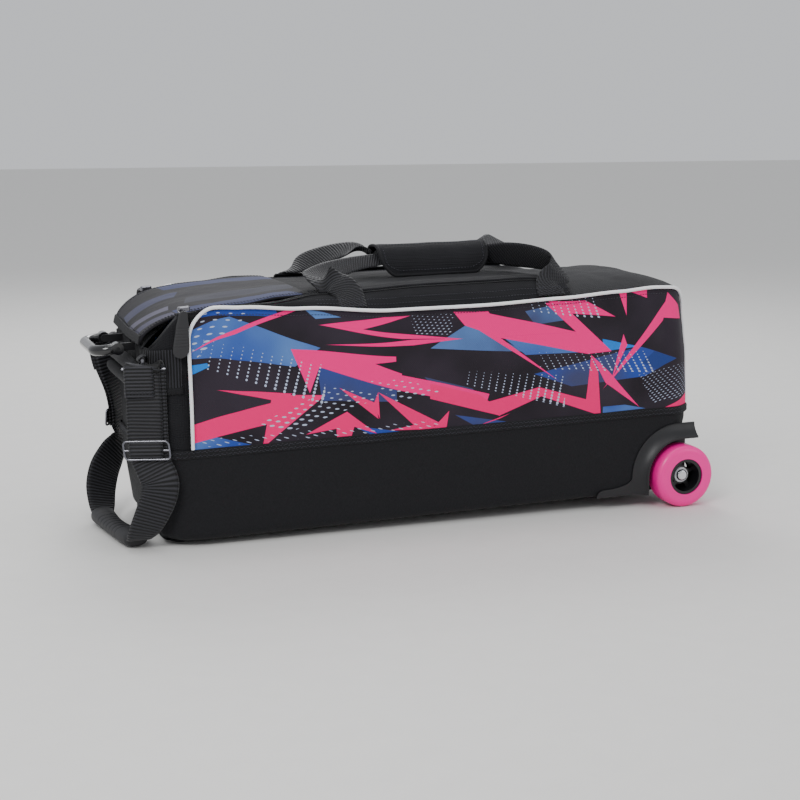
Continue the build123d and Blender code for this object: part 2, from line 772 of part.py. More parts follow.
# ---------------------------------------------------------------- end grab handle
handle_out_x = end_handle_x - end_handle_reach
handle_low_z = end_handle_z - end_handle_droop
with BuildPart() as end_handle:
    with BuildLine() as tube_path:
        FilletPolyline(
            (end_handle_x, -end_handle_half, end_handle_z),
            (handle_out_x, -end_handle_half, handle_low_z),
            (handle_out_x, end_handle_half, handle_low_z),
            (end_handle_x, end_handle_half, end_handle_z),
            radius=20,
        )
    with BuildSketch(Plane(origin=tube_path.line @ 0, z_dir=tube_path.line % 0)):
        Circle(tube_radius)
    sweep(path=tube_path.line)
    for middle in (-end_handle_half, end_handle_half):
        with BuildSketch(Plane.XZ.offset(middle - eye_half)):
            with Locations((end_handle_x, end_handle_z)):
                Circle(eye_radius)
        extrude(amount=2 * eye_half)
    with BuildSketch(Plane.XZ):
        with Locations((end_handle_x, end_handle_z)):
            Circle(pivot_radius + running_gap)
    extrude(amount=end_handle_half + eye_half + 1, both=True, mode=Mode.SUBTRACT)
keep(end_handle, "end_handle")

bracket_in = end_handle_half - eye_half - fit_gap
with BuildPart() as end_handle_tabs:
    with BuildSketch(Plane.XZ.offset(bracket_in - 4)):
        with BuildLine():
            Polyline(
                (-half_length - fit_gap, end_handle_z - 5), (end_handle_x, end_handle_z - 5),
                (end_handle_x, end_handle_z + 5), (-half_length - fit_gap, end_handle_z + 5),
                close=True,
            )
        make_face()
        with Locations((end_handle_x, end_handle_z)):
            Circle(5)
    extrude(amount=4)
    with BuildSketch(Plane.XZ.offset(bracket_in)):
        with Locations((end_handle_x, end_handle_z)):
            Circle(pivot_radius)
    extrude(amount=2 * eye_half + 2 * fit_gap)
    mirror(about=Plane.XZ)
keep(end_handle_tabs, "end_handle_tabs")

roll_radius = 11.0
roll_half = 95.0
roll_top = end_handle_z - eye_radius - 1.5
with BuildPart() as end_rolls:
    with BuildSketch(Plane.XZ.offset(-roll_half)):
        for row in (1, 3):
            with Locations((-half_length - fit_gap - roll_radius, roll_top - row * roll_radius)):
                Circle(roll_radius)
    extrude(amount=2 * roll_half)
keep(end_rolls, "end_rolls")

# ---------------------------------------------------------------- zip sliders and pulls
track = Vector(1, 0, zip_slope).normalized()
slider_x = zip_end_x + slider_length / 2 + 2
tape_top = lid_edge_top - zip_slope * (fold_x - 2 - slider_x)
slider_plane = Plane(
    origin=(slider_x, -end_zip_middle, tape_top + fit_gap), x_dir=track, z_dir=(-track.Z, 0, track.X)
)
with BuildPart() as slider:
    with BuildSketch(slider_plane):
        RectangleRounded(slider_length, slider_width, 3)
    extrude(amount=slider_height)
    chamfer(slider.faces().sort_by(Axis.Z)[-1].edges(), 1.2)
keep(slider, "front_slider")
keep_mirrored(slider.part, "back_slider")

arm_radius = 1.8
puller_x = slider_x - 4
puller_z = tape_top + fit_gap + slider_height / 2
puller_face = half_width + 2 * piping_radius + 1.0
with BuildPart() as puller:
    with BuildSketch(Plane.XZ.offset(end_zip_middle + slider_width / 2 + fit_gap)):
        with Locations((puller_x, puller_z)):
            Circle(arm_radius)
    extrude(amount=puller_face - end_zip_middle - slider_width / 2 - fit_gap)
    with BuildSketch(Plane.XZ.offset(puller_face)):
        with Locations((puller_x, puller_z - puller_length / 2 + 4)):
            RectangleRounded(puller_width, puller_length, 6)
    extrude(amount=puller_thickness)
keep(puller, "front_puller")
keep_mirrored(puller.part, "back_puller")

# ---------------------------------------------------------------- side buckle on the wheel end
buckle_y = -corner_y + 22.0
buckle_z = 215.0
with BuildPart() as side_webbing:
    with BuildSketch(Plane.XY.offset(buckle_z + 14)):
        with Locations((half_length + 1.5 + fit_gap, buckle_y)):
            Rectangle(3, 25)
    extrude(amount=24)
keep(side_webbing, "side_webbing")

with BuildPart() as side_buckle:
    with BuildSketch(Plane.YZ.offset(half_length + fit_gap)):
        with Locations((buckle_y, buckle_z)):
            RectangleRounded(30, 27, 4)
            with Locations((0, 8)):
                Rectangle(24, 4, mode=Mode.SUBTRACT)
    extrude(amount=7)
keep(side_buckle, "side_buckle")

# ---------------------------------------------------------------- lean the bag and write it
axle = Vector(axle_x, 0, axle_height)
leaning = Location((0, 0, wheel_radius)) * Location((0, 0, 0), (0, -lean, 0)) * Location(-axle)
box = Compound([piece.moved(leaning) for piece in pieces]).bounding_box()
footprint_middle = Vector((box.min.X + box.max.X) / 2, (box.min.Y + box.max.Y) / 2, 0)
for piece in pieces:
    placed = piece.moved(Location(-footprint_middle) * leaning)
    placed.label = piece.label
    export_step(placed, f"parts/{placed.label}.step")
print("pieces", len(pieces))
print("size", round(box.size.X, 1), round(box.size.Y, 1), round(box.size.Z, 1), "low", round(box.min.Z, 3))
print("axle x", round(-footprint_middle.X, 3))
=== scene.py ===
"""A three-ball roller bowling bag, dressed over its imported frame.

Sizes are in millimetres in the bag's own level frame, as in the part's source: x along the bag
with the wheels at +x, the printed front towards -y, and z = 0 on the underside of the base.
BagFrame leans them into the row frame, in metres.
"""
from __future__ import annotations

import json
import logging
import math
from dataclasses import dataclass
from enum import Enum
from typing import Any, Callable, Iterable, Optional, Sequence

import bmesh
import bpy
from mathutils import Matrix, Vector, noise
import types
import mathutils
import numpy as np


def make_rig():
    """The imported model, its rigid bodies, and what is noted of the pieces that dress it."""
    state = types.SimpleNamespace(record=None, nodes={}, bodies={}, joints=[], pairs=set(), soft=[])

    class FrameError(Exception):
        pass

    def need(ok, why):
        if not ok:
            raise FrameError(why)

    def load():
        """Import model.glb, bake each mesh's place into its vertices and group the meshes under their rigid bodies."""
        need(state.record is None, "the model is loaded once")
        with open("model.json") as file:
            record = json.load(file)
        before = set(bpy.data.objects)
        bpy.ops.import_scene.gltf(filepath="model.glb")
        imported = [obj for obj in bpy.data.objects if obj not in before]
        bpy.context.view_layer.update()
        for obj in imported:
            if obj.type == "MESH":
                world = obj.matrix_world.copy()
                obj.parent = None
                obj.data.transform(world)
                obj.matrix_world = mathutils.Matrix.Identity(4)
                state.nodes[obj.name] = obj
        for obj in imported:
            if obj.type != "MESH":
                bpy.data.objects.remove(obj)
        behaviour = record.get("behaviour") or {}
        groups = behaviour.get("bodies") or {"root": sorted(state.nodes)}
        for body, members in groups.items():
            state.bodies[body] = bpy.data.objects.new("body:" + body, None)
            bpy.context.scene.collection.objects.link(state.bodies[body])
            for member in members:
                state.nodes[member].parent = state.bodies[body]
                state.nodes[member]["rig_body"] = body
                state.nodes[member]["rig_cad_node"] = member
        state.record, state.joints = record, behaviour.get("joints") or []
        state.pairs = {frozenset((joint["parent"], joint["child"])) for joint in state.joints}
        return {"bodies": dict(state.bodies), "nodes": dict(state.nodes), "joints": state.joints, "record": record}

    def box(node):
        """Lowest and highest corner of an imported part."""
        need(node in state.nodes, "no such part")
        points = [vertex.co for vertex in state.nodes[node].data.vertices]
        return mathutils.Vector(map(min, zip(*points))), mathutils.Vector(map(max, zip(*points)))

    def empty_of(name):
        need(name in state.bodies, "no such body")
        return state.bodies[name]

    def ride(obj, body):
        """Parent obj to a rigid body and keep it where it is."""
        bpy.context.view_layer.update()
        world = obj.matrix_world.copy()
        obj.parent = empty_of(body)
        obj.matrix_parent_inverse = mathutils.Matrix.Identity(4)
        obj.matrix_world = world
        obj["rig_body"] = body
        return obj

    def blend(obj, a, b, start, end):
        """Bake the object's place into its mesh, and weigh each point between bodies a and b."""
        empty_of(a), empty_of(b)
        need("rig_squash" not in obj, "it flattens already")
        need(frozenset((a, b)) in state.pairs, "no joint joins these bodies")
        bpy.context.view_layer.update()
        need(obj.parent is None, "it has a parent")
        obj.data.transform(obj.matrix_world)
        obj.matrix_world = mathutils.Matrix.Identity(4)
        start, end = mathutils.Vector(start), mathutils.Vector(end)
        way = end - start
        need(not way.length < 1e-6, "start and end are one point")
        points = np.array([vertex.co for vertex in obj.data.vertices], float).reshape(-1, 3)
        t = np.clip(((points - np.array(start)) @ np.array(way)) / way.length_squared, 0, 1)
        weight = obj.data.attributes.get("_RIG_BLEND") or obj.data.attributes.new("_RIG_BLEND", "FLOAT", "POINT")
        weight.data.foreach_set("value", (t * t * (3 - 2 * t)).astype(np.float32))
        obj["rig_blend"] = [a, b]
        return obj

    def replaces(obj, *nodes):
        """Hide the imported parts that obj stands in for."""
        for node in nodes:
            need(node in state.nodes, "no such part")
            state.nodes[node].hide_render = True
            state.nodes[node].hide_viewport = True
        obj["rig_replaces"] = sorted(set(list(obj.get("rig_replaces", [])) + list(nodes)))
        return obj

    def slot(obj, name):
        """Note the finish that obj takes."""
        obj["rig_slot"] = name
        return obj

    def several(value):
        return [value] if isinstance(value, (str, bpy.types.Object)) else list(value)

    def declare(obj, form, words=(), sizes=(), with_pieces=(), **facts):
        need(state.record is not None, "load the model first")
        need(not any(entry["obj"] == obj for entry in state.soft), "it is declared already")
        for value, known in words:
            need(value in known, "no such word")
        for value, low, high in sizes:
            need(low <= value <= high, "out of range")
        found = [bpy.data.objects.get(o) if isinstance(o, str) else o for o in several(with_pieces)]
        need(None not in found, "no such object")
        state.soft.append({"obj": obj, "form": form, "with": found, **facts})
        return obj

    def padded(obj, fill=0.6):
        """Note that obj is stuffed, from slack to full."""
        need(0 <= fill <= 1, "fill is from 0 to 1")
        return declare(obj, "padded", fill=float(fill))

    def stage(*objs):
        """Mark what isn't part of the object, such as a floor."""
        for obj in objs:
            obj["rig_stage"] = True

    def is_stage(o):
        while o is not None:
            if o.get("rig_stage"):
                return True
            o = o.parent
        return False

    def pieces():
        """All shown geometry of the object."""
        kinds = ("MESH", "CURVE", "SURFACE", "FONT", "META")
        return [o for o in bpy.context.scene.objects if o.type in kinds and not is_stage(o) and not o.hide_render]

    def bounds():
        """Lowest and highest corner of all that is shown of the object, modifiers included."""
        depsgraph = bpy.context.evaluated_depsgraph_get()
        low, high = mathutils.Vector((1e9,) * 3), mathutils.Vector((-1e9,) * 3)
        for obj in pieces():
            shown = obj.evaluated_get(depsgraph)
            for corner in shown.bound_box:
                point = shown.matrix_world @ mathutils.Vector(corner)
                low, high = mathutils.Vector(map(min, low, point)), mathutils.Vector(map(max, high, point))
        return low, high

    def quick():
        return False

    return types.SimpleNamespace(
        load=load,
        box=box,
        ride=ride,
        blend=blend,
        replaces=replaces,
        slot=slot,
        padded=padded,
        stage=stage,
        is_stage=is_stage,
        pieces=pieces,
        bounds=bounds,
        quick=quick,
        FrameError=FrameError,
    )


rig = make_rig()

MM = 0.001
LOG = logging.getLogger("roller_bag")
Point = tuple[float, float, float]
SIZE_FILE = "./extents.json"


# ------------------------------------------------------------------------------------------
# The bag's own frame and its rounded outline
# ------------------------------------------------------------------------------------------
@dataclass(frozen=True)
class BagFrame:
    """Turns the level bag's millimetres into the leaning row frame's metres."""

    row_axle: Vector
    axle_x: float = 371.0
    axle_z: float = 25.0
    lean: float = math.radians(1.0)

    def place(self, x: float, y: float, z: float) -> Vector:
        """Returns the row-frame point of a bag point.

        Args:
            x: along the bag, mm.
            y: across the bag, mm.
            z: above the underside of the base, mm.

        Returns:
            The point in metres.
        """
        dx, dz = (x - self.axle_x) * MM, (z - self.axle_z) * MM
        cos_lean, sin_lean = math.cos(self.lean), math.sin(self.lean)
        return self.row_axle + Vector(
            (dx * cos_lean - dz * sin_lean, y * MM, dx * sin_lean + dz * cos_lean)
        )


@dataclass(frozen=True)
class Outline:
    """The body's rounded rectangle in plan, walked by its length s from the front's middle."""

    half_length: float = 392.0
    half_width: float = 135.0
    corner: float = 42.0

    @property
    def flat_x(self) -> float:
        """Half the straight stretch of a long side."""
        return self.half_length - self.corner

    @property
    def flat_y(self) -> float:
        """Half the straight stretch of an end."""
        return self.half_width - self.corner

    @property
    def quarter(self) -> float:
        """The length of one corner."""
        return self.corner * math.pi / 2

    @property
    def length(self) -> float:
        """The whole way round."""
        return 4 * (self.flat_x + self.flat_y + self.quarter)

    def at(self, s: float) -> tuple[float, float, float, float]:
        """Returns the point and outward direction at a length along the outline.

        Args:
            s: mm from the middle of the front, positive towards the wheels.

        Returns:
            x, y, and the outward direction's x and y.
        """
        s = s % self.length
        fx, fy, q = self.flat_x, self.flat_y, self.quarter
        stretches = (
            (fx, lambda t: (t, -self.half_width, 0.0, -1.0)),
            (q, lambda t: self._turn(fx, -fy, -90.0, t)),
            (2 * fy, lambda t: (self.half_length, -fy + t, 1.0, 0.0)),
            (q, lambda t: self._turn(fx, fy, 0.0, t)),
            (2 * fx, lambda t: (fx - t, self.half_width, 0.0, 1.0)),
            (q, lambda t: self._turn(-fx, fy, 90.0, t)),
            (2 * fy, lambda t: (-self.half_length, fy - t, -1.0, 0.0)),
            (q, lambda t: self._turn(-fx, -fy, 180.0, t)),
            (fx + 1.0, lambda t: (-fx + t, -self.half_width, 0.0, -1.0)),
        )
        for run, place in stretches:
            if s <= run:
                return place(s)
            s -= run
        return (0.0, -self.half_width, 0.0, -1.0)

    def _turn(self, x: float, y: float, start: float, t: float):
        """A point on the corner about x, y that starts at an angle in degrees."""
        angle = math.radians(start) + t / self.corner
        ca, sa = math.cos(angle), math.sin(angle)
        return (x + self.corner * ca, y + self.corner * sa, ca, sa)


def through(keys: Sequence[tuple[float, float]], at: float) -> float:
    """Reads a smooth curve through a few (place, value) keys.

    Args:
        keys: the places, rising, with their values.
        at: where to read it.

    Returns:
        The value there.
    """
    if at <= keys[0][0]:
        return keys[0][1]
    for (a, va), (b, vb) in zip(keys, keys[1:]):
        if at <= b:
            t = (at - a) / (b - a)
            return va + (vb - va) * t * t * (3 - 2 * t)
    return keys[-1][1]


def spline(keys: Sequence[Sequence[float]], count: int) -> list[list[float]]:
    """Runs a Catmull-Rom curve through rows of numbers.

    Args:
        keys: the rows that it passes through.
        count: samples between two rows.

    Returns:
        The sampled rows.
    """
    rows = []
    last = len(keys) - 1
    for i in range(last):
        p0, p1 = keys[max(i - 1, 0)], keys[i]
        p2, p3 = keys[i + 1], keys[min(i + 2, last)]
        for step in range(count + (i == last - 1)):
            t = step / count
            rows.append([
                0.5 * (2 * b + (c - a) * t + (2 * a - 5 * b + 4 * c - d) * t * t
                       + (3 * b - a - 3 * c + d) * t ** 3)
                for a, b, c, d in zip(p0, p1, p2, p3)
            ])
    return rows


def rumple(place: Vector, size: float, seed: float) -> float:
    """Smooth noise from -1 to 1 at a bag point, with features of a size in mm."""
    return noise.noise(place / size + Vector((seed, -seed, 2 * seed)))


def span(low: float, high: float, step: float) -> list[float]:
    """Evenly spaced values from low to high, about a step apart."""
    count = max(int(round(abs(high - low) / step)), 1)
    return [low + (high - low) * i / count for i in range(count + 1)]


# ------------------------------------------------------------------------------------------
# Finishes
# ------------------------------------------------------------------------------------------
def linear(hex_colour: str) -> tuple[float, float, float, float]:
    """Turns an sRGB hex colour into linear RGBA."""
    parts = [int(hex_colour[i:i + 2], 16) / 255 for i in (1, 3, 5)]
    return tuple(p / 12.92 if p <= 0.04045 else ((p + 0.055) / 1.055) ** 2.4 for p in parts) + (1.0,)


def add(tree: bpy.types.NodeTree, kind: str, inputs: Optional[dict] = None, **settings: Any):
    """Adds a node with its settings, values and links.

    Args:
        tree: the tree that it joins.
        kind: the node's type.
        inputs: socket name or number to a value or to the socket that feeds it.
        settings: the node's own properties.

    Returns:
        The node.
    """
    made = tree.nodes.new(kind)
    for name, value in settings.items():
        setattr(made, name, value)
    for key, value in (inputs or {}).items():
        if isinstance(value, bpy.types.NodeSocket):
            tree.links.new(value, made.inputs[key])
        else:
            made.inputs[key].default_value = value
    return made


class Space(Enum):
    """Where a finish's pattern lies."""

    OBJECT = "Object"
    CLOTH = "UV"


@dataclass(frozen=True)
class Finish:
    """What every finish holds; each kind draws its own colour and relief."""

    name: str
    colour: str
    roughness: float = 0.8

    def material(self) -> bpy.types.Material:
        """Returns the finish's material, made once."""
        found = bpy.data.materials.get(self.name)
        if found:
            return found
        made = bpy.data.materials.new(self.name)
        made.use_nodes = True
        tree = made.node_tree
        shader = tree.nodes["Principled BSDF"]
        shader.inputs["Roughness"].default_value = self.roughness
        self.dress(tree, shader)
        return made

    def dress(self, tree: bpy.types.NodeTree, shader: bpy.types.Node) -> None:
        """Fills in the shader; every kind of finish has its own."""
        raise NotImplementedError

    @staticmethod
    def mottle(tree, vector, size_mm: float, dark, light, detail: float = 3.0):
        """Returns a colour socket that wanders between two colours over a size in mm."""
        cloud = add(tree, "ShaderNodeTexNoise",
                    {"Vector": vector, "Scale": 1000.0 / size_mm, "Detail": detail})
        return add(tree, "ShaderNodeMix", {0: cloud.outputs["Fac"], 6: dark, 7: light},
                   data_type="RGBA").outputs[2]

    @staticmethod
    def relief(tree, shader, height, depth_mm: float, strength: float = 1.0, under=None):
        """Bumps the shader by a height, and returns the bump's normal."""
        values = {"Height": height, "Distance": depth_mm * MM, "Strength": strength}
        if under is not None:
            values["Normal"] = under
        bump = add(tree, "ShaderNodeBump", values)
        tree.links.new(bump.outputs["Normal"], shader.inputs["Normal"])
        return bump.outputs["Normal"]


@dataclass(frozen=True)
class WovenPolyester(Finish):
    """Plain-woven bag cloth: crossed threads catch the light as a fine grid, with soft fading."""

    light: str = "#1d1d21"
    thread_mm: float = 1.6          # drawn a little coarse, so that the grid shows
    depth_mm: float = 0.22
    space: Space = Space.OBJECT
    sheen: float = 0.05

    def dress(self, tree, shader) -> None:
        """Mottled colour and a crossed-thread relief."""
        place = add(tree, "ShaderNodeTexCoord").outputs[self.space.value]
        tint = self.mottle(tree, place, 60.0, linear(self.colour), linear(self.light))
        tree.links.new(tint, shader.inputs["Base Color"])
        shader.inputs["Sheen Weight"].default_value = self.sheen
        shader.inputs["Sheen Roughness"].default_value = 0.4
        shader.inputs["Specular IOR Level"].default_value = 0.3
        turns = math.pi * 1000.0 / self.thread_mm
        waves = []
        split = add(tree, "ShaderNodeSeparateXYZ", {0: place})
        for axis in range(2 if self.space is Space.CLOTH else 3):
            scaled = add(tree, "ShaderNodeMath", {0: split.outputs[axis], 1: turns},
                         operation="MULTIPLY")
            waves.append(add(tree, "ShaderNodeMath", {0: scaled.outputs[0]}, operation="SINE").outputs[0])
        total = add(tree, "ShaderNodeMath", {0: waves[0], 1: waves[1]}, operation="MULTIPLY").outputs[0]
        if len(waves) == 3:
            other = add(tree, "ShaderNodeMath", {0: waves[1], 1: waves[2]}, operation="MULTIPLY")
            total = add(tree, "ShaderNodeMath", {0: total, 1: other.outputs[0]}, operation="ADD").outputs[0]
        coarse = add(tree, "ShaderNodeTexNoise",
                     {"Vector": place, "Scale": 1000.0 / 9.0, "Detail": 4.0}).outputs["Fac"]
        under = self.relief(tree, shader, coarse, 0.35, 0.6)
        self.relief(tree, shader, total, self.depth_mm, 0.8, under)


@dataclass(frozen=True)
class GrainedCloth(Finish):
    """Foam-backed base cloth: a fine pebbled face with faint lighter flecks."""

    light: str = "#1b1b1f"
    grain_mm: float = 2.2           # drawn coarse, so that the pebbles show

    def dress(self, tree, shader) -> None:
        """Flecked colour over a fine pebble relief."""
        place = add(tree, "ShaderNodeTexCoord").outputs["Object"]
        tint = self.mottle(tree, place, 3.0, linear(self.colour), linear(self.light), 6.0)
        tree.links.new(tint, shader.inputs["Base Color"])
        shader.inputs["Sheen Weight"].default_value = 0.05
        shader.inputs["Specular IOR Level"].default_value = 0.3
        grain = add(tree, "ShaderNodeTexVoronoi", {"Vector": place, "Scale": 1000.0 / self.grain_mm})
        broad = add(tree, "ShaderNodeTexNoise", {"Vector": place, "Scale": 28.0, "Detail": 3.0})
        under = self.relief(tree, shader, broad.outputs["Fac"], 1.2, 0.35)
        self.relief(tree, shader, grain.outputs["Distance"], 0.5, 0.9, under)


@dataclass(frozen=True)
class Webbing(Finish):
    """Woven polypropylene webbing: twill lines slant across the ribs, and the yarn has a dull shine; the ridges get a
    painted highlight and the furrows painted shade.
    """

    # the colour painted on the ridges as a painted highlight; the own colour lies in the furrows as painted shade
    light: str = "#2c2c31"
    twill_mm: float = 3.4           # drawn coarse, so that the lines show
    lean: float = 0.6               # how far the lines slant; none draws straight ribs across
    sharp: float = 0.55

    def dress(self, tree, shader) -> None:
        """Lines on the strap's own length and width, with random yarn flecks, painted shade in the furrows and a
        painted highlight on the ridges.
        """
        place = add(tree, "ShaderNodeTexCoord").outputs["UV"]
        turns = math.tau * 1000 / self.twill_mm
        slant = add(tree, "ShaderNodeVectorMath",
                    {0: place, 1: (turns * math.cos(self.lean), turns * math.sin(self.lean), 0.0)},
                    operation="DOT_PRODUCT").outputs["Value"]
        line = add(tree, "ShaderNodeMath", {0: slant}, operation="SINE").outputs[0]
        yarn = add(tree, "ShaderNodeTexNoise",
                   {"Vector": place, "Scale": 1000.0 / 1.8, "Detail": 3.0}).outputs["Fac"]
        rough = add(tree, "ShaderNodeMath", {0: yarn, 1: 1.6, 2: line}, operation="MULTIPLY_ADD").outputs[0]
        # painted light mixed with real flecks: ridges take the lighter colour as a painted highlight, furrows the
        # darker one as painted shade, over random yarn flecks
        flecks_and_painted_ridge_light = add(tree, "ShaderNodeMapRange",
                  {"Value": rough, "From Min": 0.8 - self.sharp, "From Max": 0.8 + self.sharp}).outputs[0]
        tint = add(tree, "ShaderNodeMix",
                   {0: flecks_and_painted_ridge_light, 6: linear(self.colour), 7: linear(self.light)}, data_type="RGBA").outputs[2]
        tree.links.new(tint, shader.inputs["Base Color"])
        shader.inputs["Sheen Weight"].default_value = 0.1
        shader.inputs["Sheen Roughness"].default_value = 0.35
        shader.inputs["Specular IOR Level"].default_value = 0.35
        self.relief(tree, shader, line, 0.5, 0.9)


@dataclass(frozen=True)
class Moulded(Finish):
    """Moulded plastic, rubber or vinyl: a spark-eroded grain, with faint scuffs in its gloss."""

    light: str = "#151518"
    grain_mm: float = 0.9
    depth_mm: float = 0.08
    coat: float = 0.0
    subsurface: float = 0.0

    def dress(self, tree, shader) -> None:
        """Grain relief, a faint colour drift and uneven gloss."""
        place = add(tree, "ShaderNodeTexCoord").outputs["Object"]
        tint = self.mottle(tree, place, 35.0, linear(self.colour), linear(self.light))
        tree.links.new(tint, shader.inputs["Base Color"])
        shader.inputs["Coat Weight"].default_value = self.coat
        shader.inputs["Coat Roughness"].default_value = 0.15
        shader.inputs["Subsurface Weight"].default_value = self.subsurface
        shader.inputs["Subsurface Scale"].default_value = 0.002
        scuff = add(tree, "ShaderNodeTexNoise",
                    {"Vector": place, "Scale": 1000.0 / 14.0, "Detail": 8.0, "Roughness": 0.7})
        gloss = add(tree, "ShaderNodeMapRange",
                    {"Value": scuff.outputs["Fac"], "To Min": max(self.roughness - 0.1, 0.02),
                     "To Max": self.roughness + 0.12})
        tree.links.new(gloss.outputs["Result"], shader.inputs["Roughness"])
        grain = add(tree, "ShaderNodeTexNoise",
                    {"Vector": place, "Scale": 1000.0 / self.grain_mm, "Detail": 2.0})
        self.relief(tree, shader, grain.outputs["Fac"], self.depth_mm, 0.7)


@dataclass(frozen=True)
class Plated(Finish):
    """Plated steel: bright, with fine drawn scratches."""

    light: str = "#d8d8dc"

    def dress(self, tree, shader) -> None:
        """A metal whose gloss is broken up by fine scratches."""
        place = add(tree, "ShaderNodeTexCoord").outputs["Object"]
        tint = self.mottle(tree, place, 6.0, linear(self.colour), linear(self.light))
        tree.links.new(tint, shader.inputs["Base Color"])
        shader.inputs["Metallic"].default_value = 1.0
        drawn = add(tree, "ShaderNodeMapping", {"Vector": place, "Scale": (900.0, 60.0, 900.0)})
        scratch = add(tree, "ShaderNodeTexNoise", {"Vector": drawn.outputs[0], "Scale": 1.0})
        gloss = add(tree, "ShaderNodeMapRange",
                    {"Value": scratch.outputs["Fac"], "To Min": self.roughness * 0.6,
                     "To Max": self.roughness * 1.6})
        tree.links.new(gloss.outputs["Result"], shader.inputs["Roughness"])
        self.relief(tree, shader, scratch.outputs["Fac"], 0.02, 0.4)


@dataclass(frozen=True)
class Shard:
    """One flat-sided area of the print, by its corners in mm along and up the panel."""

    colour: str
    corners: tuple[tuple[float, float], ...]
    fade: Optional[str] = None      # a second colour that the first drifts into


@dataclass(frozen=True)
class Dots:
    """A field of halftone dots in slanting columns, which grow down each column."""

    corners: tuple[tuple[float, float], ...]
    column: tuple[float, float]     # step from one column to the next, mm
    slant: float                    # how far a column leans for each mm it falls
    pitch: float = 4.6
    largest: float = 1.9
    fall: tuple[float, float] = (250.0, 190.0)  # heights where dots are smallest and largest
    stretch: float = 1.0            # over one draws dashes


